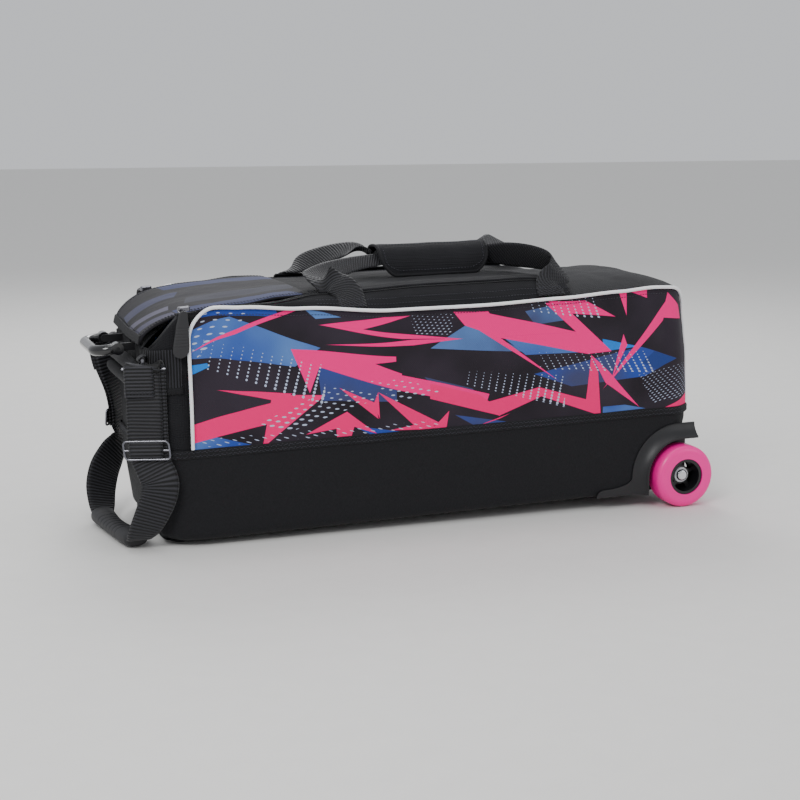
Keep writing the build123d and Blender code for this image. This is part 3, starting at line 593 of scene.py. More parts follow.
@dataclass(frozen=True)
class LightningPrint(Finish):
    """Heat-printed polyester: flat inks sink into a plain weave, over a plum-grey ground."""

    light: str = "#2e2631"
    shards: tuple[Shard, ...] = ()
    fields: tuple[Dots, ...] = ()
    thread_mm: float = 1.3
    corners: tuple[float, float, float, float, float] = (-340.0, 408.0, 296.0, 34.0, 52.0)

    def dress(self, tree, shader) -> None:
        """Ground, inks one over another, dots, and the black cloth outside the piping."""
        uv = add(tree, "ShaderNodeTexCoord").outputs["UV"]
        split = add(tree, "ShaderNodeSeparateXYZ", {0: uv})
        place = add(tree, "ShaderNodeCombineXYZ",
                    {0: split.outputs[0], 1: split.outputs[1], 2: MM}).outputs[0]
        cloud = add(tree, "ShaderNodeTexNoise", {"Vector": uv, "Scale": 9.0, "Detail": 2.0}).outputs["Fac"]
        drift = add(tree, "ShaderNodeMapRange",
                    {"Value": cloud, "From Min": 0.35, "From Max": 0.65}).outputs["Result"]
        tint = add(tree, "ShaderNodeMix", {0: drift, 6: linear(self.colour), 7: linear(self.light)},
                   data_type="RGBA").outputs[2]
        for shard in self.shards:
            ink: Any = linear(shard.colour)
            if shard.fade:
                ink = add(tree, "ShaderNodeMix", {0: drift, 6: ink, 7: linear(shard.fade)},
                          data_type="RGBA").outputs[2]
            mask = self._inside(tree, place, shard.corners)
            tint = add(tree, "ShaderNodeMix", {0: mask, 6: tint, 7: ink}, data_type="RGBA").outputs[2]
        for dots in self.fields:
            mask = self._dots(tree, place, dots)
            tint = add(tree, "ShaderNodeMix", {0: mask, 6: tint, 7: linear("#b4bfd8")},
                       data_type="RGBA").outputs[2]
        if self.corners:
            tint = add(tree, "ShaderNodeMix",
                       {0: self._piped(tree, split), 6: linear("#0b0b0d"), 7: tint},
                       data_type="RGBA").outputs[2]
        tree.links.new(tint, shader.inputs["Base Color"])
        shader.inputs["Sheen Weight"].default_value = 0.06
        shader.inputs["Specular IOR Level"].default_value = 0.3
        turns = math.pi * 1000.0 / self.thread_mm
        waves = []
        for axis in (0, 1):
            scaled = add(tree, "ShaderNodeMath", {0: split.outputs[axis], 1: turns}, operation="MULTIPLY")
            waves.append(add(tree, "ShaderNodeMath", {0: scaled.outputs[0]}, operation="SINE").outputs[0])
        weave = add(tree, "ShaderNodeMath", {0: waves[0], 1: waves[1]}, operation="MULTIPLY").outputs[0]
        self.relief(tree, shader, weave, 0.12, 0.7)

    @staticmethod
    def _inside(tree, place, corners) -> bpy.types.NodeSocket:
        """A mask that is one inside a convex outline, from its sides' distances."""
        points = [Vector(c) for c in corners]
        area = sum(a.x * b.y - b.x * a.y for a, b in zip(points, points[1:] + points[:1]))
        if area < 0:
            points.reverse()
        nearest = None
        for a, b in zip(points, points[1:] + points[:1]):
            side = (b - a).normalized()
            inward = Vector((-side.y, side.x))
            far = add(tree, "ShaderNodeVectorMath",
                      {0: place, 1: (inward.x, inward.y, -inward.dot(a))},
                      operation="DOT_PRODUCT").outputs["Value"]
            nearest = far if nearest is None else add(
                tree, "ShaderNodeMath", {0: nearest, 1: far}, operation="MINIMUM").outputs[0]
        return add(tree, "ShaderNodeMath", {0: nearest, 1: 3000.0, 2: 0.5},
                   operation="MULTIPLY_ADD", use_clamp=True).outputs[0]

    def _dots(self, tree, place, dots: Dots) -> bpy.types.NodeSocket:
        """A mask of growing dots or dashes in slanting columns."""
        column = Vector(dots.column)
        down = Vector((dots.slant, -1.0))
        det = column.x * down.y - column.y * down.x
        across = Vector((down.y, -down.x)) / det / MM
        along = Vector((-column.y, column.x)) / det / MM / dots.pitch
        shifts = []
        for step in (across, along):
            value = add(tree, "ShaderNodeVectorMath", {0: place, 1: (step.x, step.y, 0.0)},
                        operation="DOT_PRODUCT").outputs["Value"]
            part = add(tree, "ShaderNodeMath", {0: value}, operation="FRACT").outputs[0]
            shifts.append(add(tree, "ShaderNodeMath", {0: part, 1: -0.5}, operation="ADD").outputs[0])
        wide = add(tree, "ShaderNodeMath", {0: shifts[0], 1: column.length / dots.stretch},
                   operation="MULTIPLY").outputs[0]
        tall = add(tree, "ShaderNodeMath", {0: shifts[1], 1: dots.pitch}, operation="MULTIPLY").outputs[0]
        both = add(tree, "ShaderNodeCombineXYZ", {0: wide, 1: tall}).outputs[0]
        radius = add(tree, "ShaderNodeVectorMath", {0: both}, operation="LENGTH").outputs["Value"]
        height = add(tree, "ShaderNodeSeparateXYZ", {0: place}).outputs[1]
        grown = add(tree, "ShaderNodeMapRange",
                    {"Value": height, "From Min": dots.fall[0] * MM, "From Max": dots.fall[1] * MM,
                     "To Min": 0.25 * dots.largest, "To Max": dots.largest}).outputs["Result"]
        inside = add(tree, "ShaderNodeMath", {0: grown, 1: radius}, operation="SUBTRACT").outputs[0]
        spot = add(tree, "ShaderNodeMath", {0: inside, 1: 3.0, 2: 0.5},
                   operation="MULTIPLY_ADD", use_clamp=True).outputs[0]
        return add(tree, "ShaderNodeMath", {0: spot, 1: self._inside(tree, place, dots.corners)},
                   operation="MULTIPLY").outputs[0]

    def _piped(self, tree, split) -> bpy.types.NodeSocket:
        """A mask that is one inside the piped outline with its two rounded upper corners."""
        low, high, top, left, right = (c * MM for c in self.corners)
        masks = []
        for edge, radius, sign in ((low, left, 1.0), (high, right, -1.0)):
            across = add(tree, "ShaderNodeMath",
                         {0: split.outputs[0], 1: -sign, 2: sign * (edge + sign * radius)},
                         operation="MULTIPLY_ADD").outputs[0]
            rise = add(tree, "ShaderNodeMath", {0: split.outputs[1], 1: radius - top},
                       operation="ADD").outputs[0]
            parts = [add(tree, "ShaderNodeMath", {0: value, 1: 0.0}, operation="MAXIMUM").outputs[0]
                     for value in (across, rise)]
            both = add(tree, "ShaderNodeCombineXYZ", {0: parts[0], 1: parts[1]}).outputs[0]
            far = add(tree, "ShaderNodeVectorMath", {0: both}, operation="LENGTH").outputs["Value"]
            masks.append(add(tree, "ShaderNodeMath", {0: far, 1: radius}, operation="LESS_THAN").outputs[0])
        return add(tree, "ShaderNodeMath", {0: masks[0], 1: masks[1]}, operation="MINIMUM").outputs[0]


# ------------------------------------------------------------------------------------------
# Meshes
# ------------------------------------------------------------------------------------------
@dataclass(frozen=True)
class Maker:
    """Makes pieces from the bag's millimetres, ready to ride on a body."""

    frame: BagFrame

    def piece(self, name: str, points: Iterable[Sequence[float]], faces: Sequence[Sequence[int]],
              finish: Finish, uvs: Optional[Sequence[tuple[float, float]]] = None,
              closed: bool = False, away: Optional[Point] = None) -> bpy.types.Object:
        """Makes a smooth-shaded mesh object.

        Args:
            name: the piece's name.
            points: bag points, mm.
            faces: corner numbers of each face.
            finish: its finish.
            uvs: cloth place of each point, mm.
            closed: whether its normals can be worked out from its volume.
            away: for an open sheet, a bag point that its outer face looks away from.

        Returns:
            The object.
        """
        mesh = bpy.data.meshes.new(name)
        mesh.from_pydata([self.frame.place(*p) for p in points], [], faces)
        if uvs is not None:
            layer = mesh.uv_layers.new(name="Cloth")
            for loop in mesh.loops:
                layer.data[loop.index].uv = [c * MM for c in uvs[loop.vertex_index]]
        mesh.materials.append(finish.material())
        mesh.shade_smooth()
        made = bpy.data.objects.new(name, mesh)
        bpy.context.collection.objects.link(made)
        if closed:
            self.face_outwards(mesh)
        elif away is not None:
            centre = self.frame.place(*away)
            if sum((f.center - centre).dot(f.normal) * f.area for f in mesh.polygons) < 0:
                mesh.flip_normals()
        return made

    @staticmethod
    def face_outwards(mesh: bpy.types.Mesh) -> None:
        """Turns a closed mesh's faces outwards."""
        work = bmesh.new()
        work.from_mesh(mesh)
        bmesh.ops.recalc_face_normals(work, faces=work.faces)
        work.to_mesh(mesh)
        work.free()

    def patch(self, name: str, us: Sequence[float], vs: Sequence[float],
              at: Callable[[float, float], Point], finish: Finish, thick: float = 2.0,
              away: Optional[Point] = (0.0, 0.0, 190.0), ring: bool = False,
              cloth: Optional[Callable[[float, float], tuple[float, float]]] = None):
        """Makes a cloth panel from a rule, with a thickness.

        Args:
            name: the piece's name.
            us: places along it, mm.
            vs: places up it, mm.
            at: bag point of a place.
            finish: its finish.
            thick: cloth thickness, mm.
            away: a bag point that its outer face looks away from.
            ring: whether the last column meets the first.
            cloth: the printed place of a place, if it isn't the place itself.

        Returns:
            The panel.
        """
        width, points = len(vs), [at(u, v) for u in us for v in vs]
        uvs = [cloth(u, v) if cloth else (u, v) for u in us for v in vs]
        columns = len(us) if ring else len(us) - 1
        faces = [
            (i * width + j, (i + 1) % len(us) * width + j, (i + 1) % len(us) * width + j + 1,
             i * width + j + 1)
            for i in range(columns) for j in range(width - 1)
        ]
        made = self.piece(name, points, faces, finish, uvs, away=away)
        if thick:
            wall = made.modifiers.new("Thickness", "SOLIDIFY")
            wall.thickness = thick * MM
            wall.offset = -1.0
            wall.use_even_offset = False
        return made

    def ribbon(self, name: str, keys: Sequence[Sequence[float]], finish: Finish,
               thick: float = 2.4, rib_pitch: float = 0.0, rib_height: float = 0.0,
               step: float = 2.0, samples: int = 24, square_ends: bool = True) -> bpy.types.Object:
        """Makes flat webbing through keys of place, crosswise direction and width.

        Args:
            name: the piece's name.
            keys: rows of x, y, z, across x, y, z, width.
            finish: its finish.
            thick: thickness, mm.
            rib_pitch: spacing of the ribs across it, mm; none if zero.
            rib_height: height of the ribs, mm.
            step: spacing of its sections, mm.
            samples: curve samples between keys.
            square_ends: whether the ends are closed flat.

        Returns:
            The webbing, with its length and width as its cloth place.
        """
        rows = spline(keys, samples)
        places = [Vector(r[:3]) for r in rows]
        run = [0.0]
        for a, b in zip(places, places[1:]):
            run.append(run[-1] + (b - a).length)
        step = rib_pitch / 5 if rib_pitch else step
        wide = 12
        points, uvs, faces = [], [], []
        stations = span(0.0, run[-1], step)
        index = 0
        for station in stations:
            while index < len(run) - 2 and run[index + 1] < station:
                index += 1
            t = (station - run[index]) / max(run[index + 1] - run[index], 1e-6)
            centre = places[index].lerp(places[index + 1], t)
            tangent = (places[index + 1] - places[index]).normalized()
            row = [a + (b - a) * t for a, b in zip(rows[index], rows[index + 1])]
            across = Vector(row[3:6])
            across = (across - tangent * across.dot(tangent)).normalized()
            normal = across.cross(tangent)
            rib = rib_height * abs(math.sin(math.pi * station / rib_pitch)) if rib_pitch else 0.0
            for j in range(2 * wide):
                side = 1 if j <= wide else -1
                share = j / wide if j <= wide else 2 - j / wide
                a = (share - 0.5) * row[6]
                round_edge = math.sqrt(max(1 - abs(2 * share - 1) ** 10, 0.0))
                lift = side * (thick / 2 + rib * round_edge) * (0.25 + 0.75 * round_edge)
                points.append(centre + across * a + normal * lift)
                uvs.append((station, a))
        ring = 2 * wide
        for i in range(len(stations) - 1):
            for j in range(ring):
                k = (j + 1) % ring
                faces.append((i * ring + j, i * ring + k, (i + 1) * ring + k, (i + 1) * ring + j))
        if square_ends:
            faces.append(tuple(range(ring)))
            faces.append(tuple((len(stations) - 1) * ring + j for j in range(ring)))
        return self.piece(name, points, faces, finish, uvs, closed=True)

    def tube(self, name: str, sections: Sequence[tuple[Vector, Vector, Vector]], finish: Finish,
             shape: Callable[[float, int], tuple[float, float]], segments: int = 24):
        """Makes a closed solid from sections along a line.

        Args:
            name: the piece's name.
            sections: middle, first and second direction of each section.
            finish: its finish.
            shape: the two offsets at an angle of a numbered section.
            segments: points round a section.

        Returns:
            The solid.
        """
        points, faces = [], []
        for number, (middle, first, second) in enumerate(sections):
            for j in range(segments):
                a, b = shape(math.tau * j / segments, number)
                points.append(middle + first * a + second * b)
        for i in range(len(sections) - 1):
            for j in range(segments):
                k = (j + 1) % segments
                faces.append((i * segments + j, i * segments + k,
                              (i + 1) * segments + k, (i + 1) * segments + j))
        faces.append(tuple(range(segments)))
        faces.append(tuple((len(sections) - 1) * segments + j for j in range(segments)))
        return self.piece(name, points, faces, finish, closed=True)


# ------------------------------------------------------------------------------------------
# Geometry Nodes: what follows a line, and what is set along one
# ------------------------------------------------------------------------------------------
@dataclass(frozen=True)
class LineWork:
    """Runs round wire, stitches and teeth along lines, each by its own node tree."""

    maker: Maker

    def _lines(self, name: str, lines: Sequence[Sequence[Point]]) -> bpy.types.Object:
        """An object of bare edges along each line."""
        mesh = bpy.data.meshes.new(name)
        points, edges = [], []
        for line in lines:
            start = len(points)
            points += [self.maker.frame.place(*p) for p in line]
            edges += [(start + i, start + i + 1) for i in range(len(line) - 1)]
        mesh.from_pydata(points, edges, [])
        made = bpy.data.objects.new(name, mesh)
        bpy.context.collection.objects.link(made)
        return made

    @staticmethod
    def _tree(name: str, inputs: Sequence[tuple[str, str]]):
        """A node tree with geometry in and out and named inputs.

        Returns:
            The tree, its input node, and the identifiers of the inputs by name.
        """
        tree = bpy.data.node_groups.new(name, "GeometryNodeTree")
        tree.interface.new_socket("Geometry", in_out="INPUT", socket_type="NodeSocketGeometry")
        tree.interface.new_socket("Geometry", in_out="OUTPUT", socket_type="NodeSocketGeometry")
        found = {}
        for label, kind in inputs:
            found[label] = tree.interface.new_socket(label, in_out="INPUT", socket_type=kind).identifier
        return tree, tree.nodes.new("NodeGroupInput"), found

    @staticmethod
    def _bake(obj: bpy.types.Object, tree, values: dict[str, Any], finish: Finish):
        """Runs the tree on the object and leaves its result as a plain mesh."""
        modifier = obj.modifiers.new(tree.name, "NODES")
        modifier.node_group = tree
        for identifier, value in values.items():
            modifier[identifier] = value
        evaluated = obj.evaluated_get(bpy.context.evaluated_depsgraph_get())
        mesh = bpy.data.meshes.new_from_object(evaluated)
        obj.modifiers.remove(modifier)
        obj.data = mesh
        mesh.materials.clear()
        mesh.materials.append(finish.material())
        mesh.shade_smooth()
        return obj

    def wire(self, name: str, lines: Sequence[Sequence[Point]], radius: float, finish: Finish,
             sides: int = 16) -> bpy.types.Object:
        """Makes round wire or cord along lines.

        Args:
            name: the piece's name.
            lines: the lines' bag points, mm.
            radius: the wire's radius, mm.
            finish: its finish.
            sides: points round the wire.

        Returns:
            The wire as one mesh with closed ends.
        """
        tree, start, ids = self._tree("Round wire", (
            ("Radius", "NodeSocketFloat"), ("Sides", "NodeSocketInt"), ("Finish", "NodeSocketMaterial")))
        curve = add(tree, "GeometryNodeMeshToCurve", {0: start.outputs["Geometry"]})
        ring = add(tree, "GeometryNodeCurvePrimitiveCircle",
                   {"Resolution": start.outputs["Sides"], "Radius": start.outputs["Radius"]})
        swept = add(tree, "GeometryNodeCurveToMesh",
                    {"Curve": curve.outputs[0], "Profile Curve": ring.outputs[0], "Fill Caps": True})
        self._close(tree, swept.outputs[0], start)
        return self._bake(self._lines(name, lines), tree, {
            ids["Radius"]: radius * MM, ids["Sides"]: sides, ids["Finish"]: finish.material()}, finish)

    def along(self, name: str, lines: Sequence[Sequence[Point]], spacing: float,
              size: Point, finish: Finish, turned: bool = True) -> bpy.types.Object:
        """Sets small rounded pieces, such as stitches or teeth, along lines.

        Args:
            name: the piece's name.
            lines: the lines' bag points, mm.
            spacing: distance from one to the next, mm.
            size: half sizes, mm; the last is along the line if turned.
            finish: their finish.
            turned: whether each turns with its line.

        Returns:
            All of them as one mesh.
        """
        tree, start, ids = self._tree("Set along a line", (
            ("Spacing", "NodeSocketFloat"), ("Size", "NodeSocketVector"), ("Finish", "NodeSocketMaterial")))
        curve = add(tree, "GeometryNodeMeshToCurve", {0: start.outputs["Geometry"]})
        places = add(tree, "GeometryNodeCurveToPoints",
                     {"Curve": curve.outputs[0], "Length": start.outputs["Spacing"]}, mode="LENGTH")
        bead = add(tree, "GeometryNodeMeshUVSphere", {"Segments": 8, "Rings": 5, "Radius": 1.0})
        values = {"Points": places.outputs["Points"], "Instance": bead.outputs[0],
                  "Scale": start.outputs["Size"]}
        if turned:
            values["Rotation"] = places.outputs["Rotation"]
        beads = add(tree, "GeometryNodeInstanceOnPoints", values)
        real = add(tree, "GeometryNodeRealizeInstances", {0: beads.outputs[0]})
        self._close(tree, real.outputs[0], start)
        return self._bake(self._lines(name, lines), tree, {
            ids["Spacing"]: spacing * MM, ids["Size"]: [s * MM for s in size],
            ids["Finish"]: finish.material()}, finish)

    @staticmethod
    def _close(tree, geometry, start) -> None:
        """Sets the material and sends the geometry out."""
        dressed = add(tree, "GeometryNodeSetMaterial",
                      {"Geometry": geometry, "Material": start.outputs["Finish"]})
        add(tree, "NodeGroupOutput", {"Geometry": dressed.outputs[0]})


def swell(piece: bpy.types.Object, voxel: float, pressure: float, cap: float) -> None:
    """Puffs a closed piece out by a cloth simulation, and leaves the result in its mesh.

    Args:
        piece: the closed piece, a little smaller than it should end up.
        voxel: remesh size, mm.
        pressure: the air pressure inside.
        cap: the furthest a point may move, mm.
    """
    remesh = piece.modifiers.new("Remesh", "REMESH")
    remesh.mode, remesh.voxel_size = "VOXEL", voxel * MM
    settle(piece)
    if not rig.quick():
        start = [v.co.copy() for v in piece.data.vertices]
        cloth = piece.modifiers.new("Cloth", "CLOTH")
        cloth.settings.use_pressure = True
        cloth.settings.uniform_pressure_force = pressure
        cloth.settings.effector_weights.gravity = 0.0
        scene = bpy.context.scene
        scene.frame_start, scene.frame_end = 1, 20
        for number in range(1, 21):
            scene.frame_set(number)
        settle(piece)
        for vertex, place in zip(piece.data.vertices, start):
            move = vertex.co - place
            if move.length > cap * MM:
                vertex.co = place + move.normalized() * cap * MM
        scene.frame_set(1)
    piece.modifiers.new("Smooth", "SUBSURF").levels = 1
    piece.modifiers["Smooth"].render_levels = 1
    settle(piece)


def settle(piece: bpy.types.Object) -> None:
    """Bakes a piece's modifiers into its mesh."""
    evaluated = piece.evaluated_get(bpy.context.evaluated_depsgraph_get())
    mesh = bpy.data.meshes.new_from_object(evaluated)
    piece.modifiers.clear()
    piece.data = mesh
    mesh.shade_smooth()


@dataclass(frozen=True)
class Shop:
    """What every sub-assembly's builder is handed."""

    maker: Maker
    lines: LineWork
    outline: Outline
    nodes: dict[str, bpy.types.Object]

    def fit(self, piece: bpy.types.Object, body: str, slot: str, *stands_for: str):
        """Rides a piece on its body, names its slot, and hides the nodes that it stands for.

        Returns:
            The piece.
        """
        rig.ride(piece, body)
        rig.slot(piece, slot)
        if stands_for:
            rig.replaces(piece, *stands_for)
        LOG.info("%s rides on %s", piece.name, body)
        return piece

    def dress(self, finish: Finish, *names: str) -> None:
        """Gives carried-over nodes their finish."""
        for name in names:
            mesh = self.nodes[name].data
            mesh.materials.clear()
            mesh.materials.append(finish.material())


# ------------------------------------------------------------------------------------------
# The bag's finishes
# ------------------------------------------------------------------------------------------
PINK, HOT = "#ff0080", "#f80070"
ROYAL, STEEL, SKY, SLATE = "#26459c", "#567cb8", "#1878d0", "#3c4166"

PRINT_SHARDS = (
    Shard(ROYAL, ((-325, 302), (-225, 299), (-220, 286), (-322, 288))),
    Shard(STEEL, ((-338, 275), (-285, 286), (-165, 245), (-200, 222), (-338, 240)), ROYAL),
    Shard(STEEL, ((-185, 296), (-160, 292), (-135, 286), (-170, 283))),
    Shard(SKY, ((-338, 232), (-317, 231), (-314, 226), (-338, 220))),
    Shard(SLATE, ((-170, 222), (-60, 188), (-60, 168), (-165, 175)), ROYAL),
    Shard(ROYAL, ((-340, 142), (-310, 138), (-262, 124), (-340, 124)), STEEL),
    Shard(ROYAL, ((-122, 138), (-55, 124), (-98, 124))),
    Shard(STEEL, ((45, 272), (85, 250), (130, 225), (-10, 240)), SLATE),
    Shard(SLATE, ((-20, 200), (50, 178), (60, 166), (-10, 188))),
    Shard(ROYAL, ((95, 250), (135, 245), (255, 215), (130, 220)), STEEL),
    Shard(SKY, ((248, 232), (305, 216), (250, 214))),
    Shard(ROYAL, ((240, 206), (305, 216), (366, 195), (316, 172), (200, 168), (140, 192)), SLATE),
    Shard("#223a7c", ((330, 207), (366, 195), (335, 180), (310, 192))),
    Shard(STEEL, ((130, 283), (165, 287), (190, 265), (145, 262)), SLATE),
    Shard(ROYAL, ((25, 141), (112, 122), (55, 122)), SLATE),
    Shard(STEEL, ((250, 133), (285, 133), (318, 125), (250, 124)), ROYAL),
    Shard(PINK, ((-338, 248), (-205, 297), (-190, 297), (-280, 264))),
    Shard(PINK, ((-165, 275), (-75, 288), (-38, 288), (-105, 271))),
    Shard(PINK, ((-165, 275), (-105, 271), (36, 251), (-50, 256))),
    Shard(PINK, ((-155, 249), (-35, 254), (36, 251), (-35, 246))),
    Shard(PINK, ((-205, 245), (-165, 225), (-181, 186))),
    Shard(PINK, ((-205, 245), (-60, 232), (-60, 225), (-170, 218))),
    Shard(PINK, ((-172, 232), (-110, 232), (-52, 207), (-58, 184), (-165, 219))),
    Shard(PINK, ((-60, 207), (10, 188), (75, 168), (70, 150), (-58, 184))),
    Shard(HOT, ((-340, 156), (-222, 178), (-198, 168), (-230, 150), (-340, 132))),
    Shard(HOT, ((-305, 196), (-205, 187), (-222, 177))),
    Shard(HOT, ((-232, 187), (-160, 182), (-247, 118))),
    Shard(HOT, ((-140, 191), (-90, 168), (-86, 145))),
    Shard(HOT, ((-86, 183), (-84, 145), (-93, 166))),
    Shard(HOT, ((-86, 183), (5, 130), (-28, 124))),
    Shard(HOT, ((-70, 127), (-25, 133), (12, 122))),
    Shard(HOT, ((16, 148), (-8, 124), (12, 122))),
    Shard(HOT, ((-187, 131), (-130, 158), (-122, 138))),
    Shard(HOT, ((-130, 158), (-88, 124), (-145, 146))),
    Shard(HOT, ((-146, 148), (-119, 140), (-126, 118), (-144, 118))),
    Shard(PINK, ((24, 290), (75, 288), (100, 246), (40, 270))),
    Shard(PINK, ((60, 290), (135, 268), (212, 246), (85, 250))),
    Shard(PINK, ((85, 250), (212, 246), (262, 213), (225, 213))),
    Shard(PINK, ((52, 268), (90, 250), (177, 180))),
    Shard(PINK, ((160, 292), (185, 290), (262, 213), (208, 246))),
    Shard(PINK, ((165, 294), (222, 290), (268, 262), (188, 276))),
    Shard(PINK, ((274, 296), (286, 296), (286, 262))),
    Shard(PINK, ((288, 297), (318, 298), (318, 283))),
    Shard(PINK, ((352, 290), (375, 272), (380, 252), (342, 254))),
    Shard(PINK, ((356, 286), (344, 250), (250, 160))),
    Shard(PINK, ((281, 236), (287, 220), (262, 172))),
    Shard(PINK, ((230, 211), (258, 184), (308, 128), (253, 168))),
    Shard(HOT, ((230, 211), (241, 185), (247, 120), (223, 145))),
    Shard(HOT, ((150, 171), (225, 146), (247, 120), (152, 158))),
    Shard(HOT, ((72, 156), (150, 171), (156, 158), (90, 134))),
    Shard(HOT, ((60, 168), (76, 156), (92, 134), (-12, 168), (-12, 190))),
    Shard(HOT, ((55, 121), (106, 136), (92, 130))),
    Shard(HOT, ((350, 124), (398, 142), (400, 124))),
    Shard(HOT, ((455, 260), (520, 236), (470, 200))),
)
PRINT_DOTS = (
    Dots(((-325, 262), (-160, 222), (-160, 168), (-325, 226)), (12.6, -4.2), -0.28, fall=(250, 185)),
    Dots(((40, 205), (190, 185), (190, 138), (40, 185)), (10.4, -3.4), -0.20, 4.2, 1.9, (200, 145)),
    Dots(((148, 222), (318, 208), (330, 176), (152, 198)), (10.6, -0.6), 0.55, 4.2, 1.8, (215, 178)),
    Dots(((138, 296), (240, 296), (248, 262), (138, 280)), (11.0, -2.0), 0.35, 4.6, 1.9, (296, 264)),
    Dots(((-335, 298), (-255, 300), (-262, 286), (-335, 236)), (16.5, -0.6), -0.5, 8.2, 1.5,
         (310, 240), 3.4),
    Dots(((-250, 150), (-140, 195), (-80, 176), (-210, 136)), (12.0, -2.4), -1.6, 5.2, 1.1,
         (215, 140), 3.0),
    Dots(((-100, 202), (-50, 198), (10, 178), (-60, 168)), (11.5, -2.6), -1.5, 5.4, 1.2,
         (215, 150), 3.0),
    Dots(((-40, 288), (25, 288), (20, 258), (-30, 262)), (7.2, -0.7), -1.4, 3.6, 0.9, (300, 240), 2.0),
    Dots(((-330, 136), (0, 136), (0, 126), (-330, 126)), (19.0, -4.4), 1.3, 6.5, 1.3, (150, 118), 3.2),
    Dots(((305, 175), (396, 190), (400, 140), (330, 132)), (7.4, 1.7), -0.9, 4.6, 0.9, (215, 110), 2.4),
)
LID_SHARDS = (
    Shard("#4c4a5c", ((-386, -86), (-318, -112), (-322, -90), (-384, -58)), "#3a3a50"),
    Shard("#4c4a5c", ((-384, -34), (-322, -72), (-318, -50), (-384, -6)), "#5a5868"),
    Shard("#2c3358", ((-318, -116), (-196, -118), (-214, -88), (-320, -84)), "#3b3f5c"),
    Shard("#34353f", ((-300, -60), (-196, -72), (-180, -34), (-290, -18)), "#2a2a36"),
    Shard("#3f3f52", ((-380, 22), (-300, 4), (-290, 36), (-376, 58)), "#30344f"),
    Shard("#2c3358", ((-300, 74), (-196, 40), (-190, 80), (-304, 112)), "#3b3f5c"),
)

BASE_CLOTH = GrainedCloth("Base_cloth", "#08080a", 0.85)
BAG_CLOTH = WovenPolyester("Bag_cloth", "#0c0c0f", 0.85)
PANEL_PRINT = LightningPrint("Lightning_print", "#1b151d", 0.82, shards=PRINT_SHARDS, fields=PRINT_DOTS)
LID_PRINT = LightningPrint("Lid_print", "#111014", 0.82, light="#1c1a21", shards=LID_SHARDS,
                           fields=(), corners=())
TAPE_CLOTH = WovenPolyester("Binding_tape", "#0a0a0c", 0.8, thread_mm=1.1)
LINING = WovenPolyester("Grey_lining", "#2c2c31", 0.9, light="#3a3a40", thread_mm=1.2)
# in each webbing finish, light is the painted highlight on the ridges and the own colour is the painted shade in the
# furrows
ELASTIC = Webbing("Ribbed_elastic", "#040405", 0.8, light="#2a2a2f", twill_mm=3.9, lean=0.0, sharp=0.35)
STRAP = Webbing("Twill_webbing", "#08080a", 0.6, light="#25252a")
RIBBED = Webbing("Ribbed_tow_webbing", "#060607", 0.6, light="#2b2b30", twill_mm=4.6, lean=0.0)
THREAD = WovenPolyester("Black_thread", "#2c2c32", 0.7, light="#44444c", thread_mm=0.9)
PIPING = Moulded("White_vinyl_piping", "#ededf0", 0.38, light="#f8f8fa", grain_mm=1.5, subsurface=0.05)
HOUSING = Moulded("Textured_polypropylene", "#0f0f12", 0.42, light="#18181b", grain_mm=0.8, depth_mm=0.1)
ACETAL = Moulded("Black_acetal", "#111113", 0.35, light="#19191b")
TUBE = Moulded("Gloss_black_tube", "#0c0c0e", 0.12, light="#141417", coat=0.6)
GRIP_RUBBER = Moulded("Soft_grip_rubber", "#1a1a1c", 0.55, light="#242427", grain_mm=1.1)
URETHANE = Moulded("Pink_cast_urethane", "#fc0092", 0.3, light="#ff0c9c", grain_mm=2.5, depth_mm=0.03)
NYLON = Moulded("Black_nylon", "#0e0e10", 0.3, light="#17171a")
CHROME = Plated("Polished_chrome", "#c9c9ce", 0.1)
ZINC = Plated("Zinc_plate", "#a5a5ab", 0.28)
DARK_METAL = Plated("Gunmetal_plate", "#6c6c72", 0.22, light="#8d8d94")


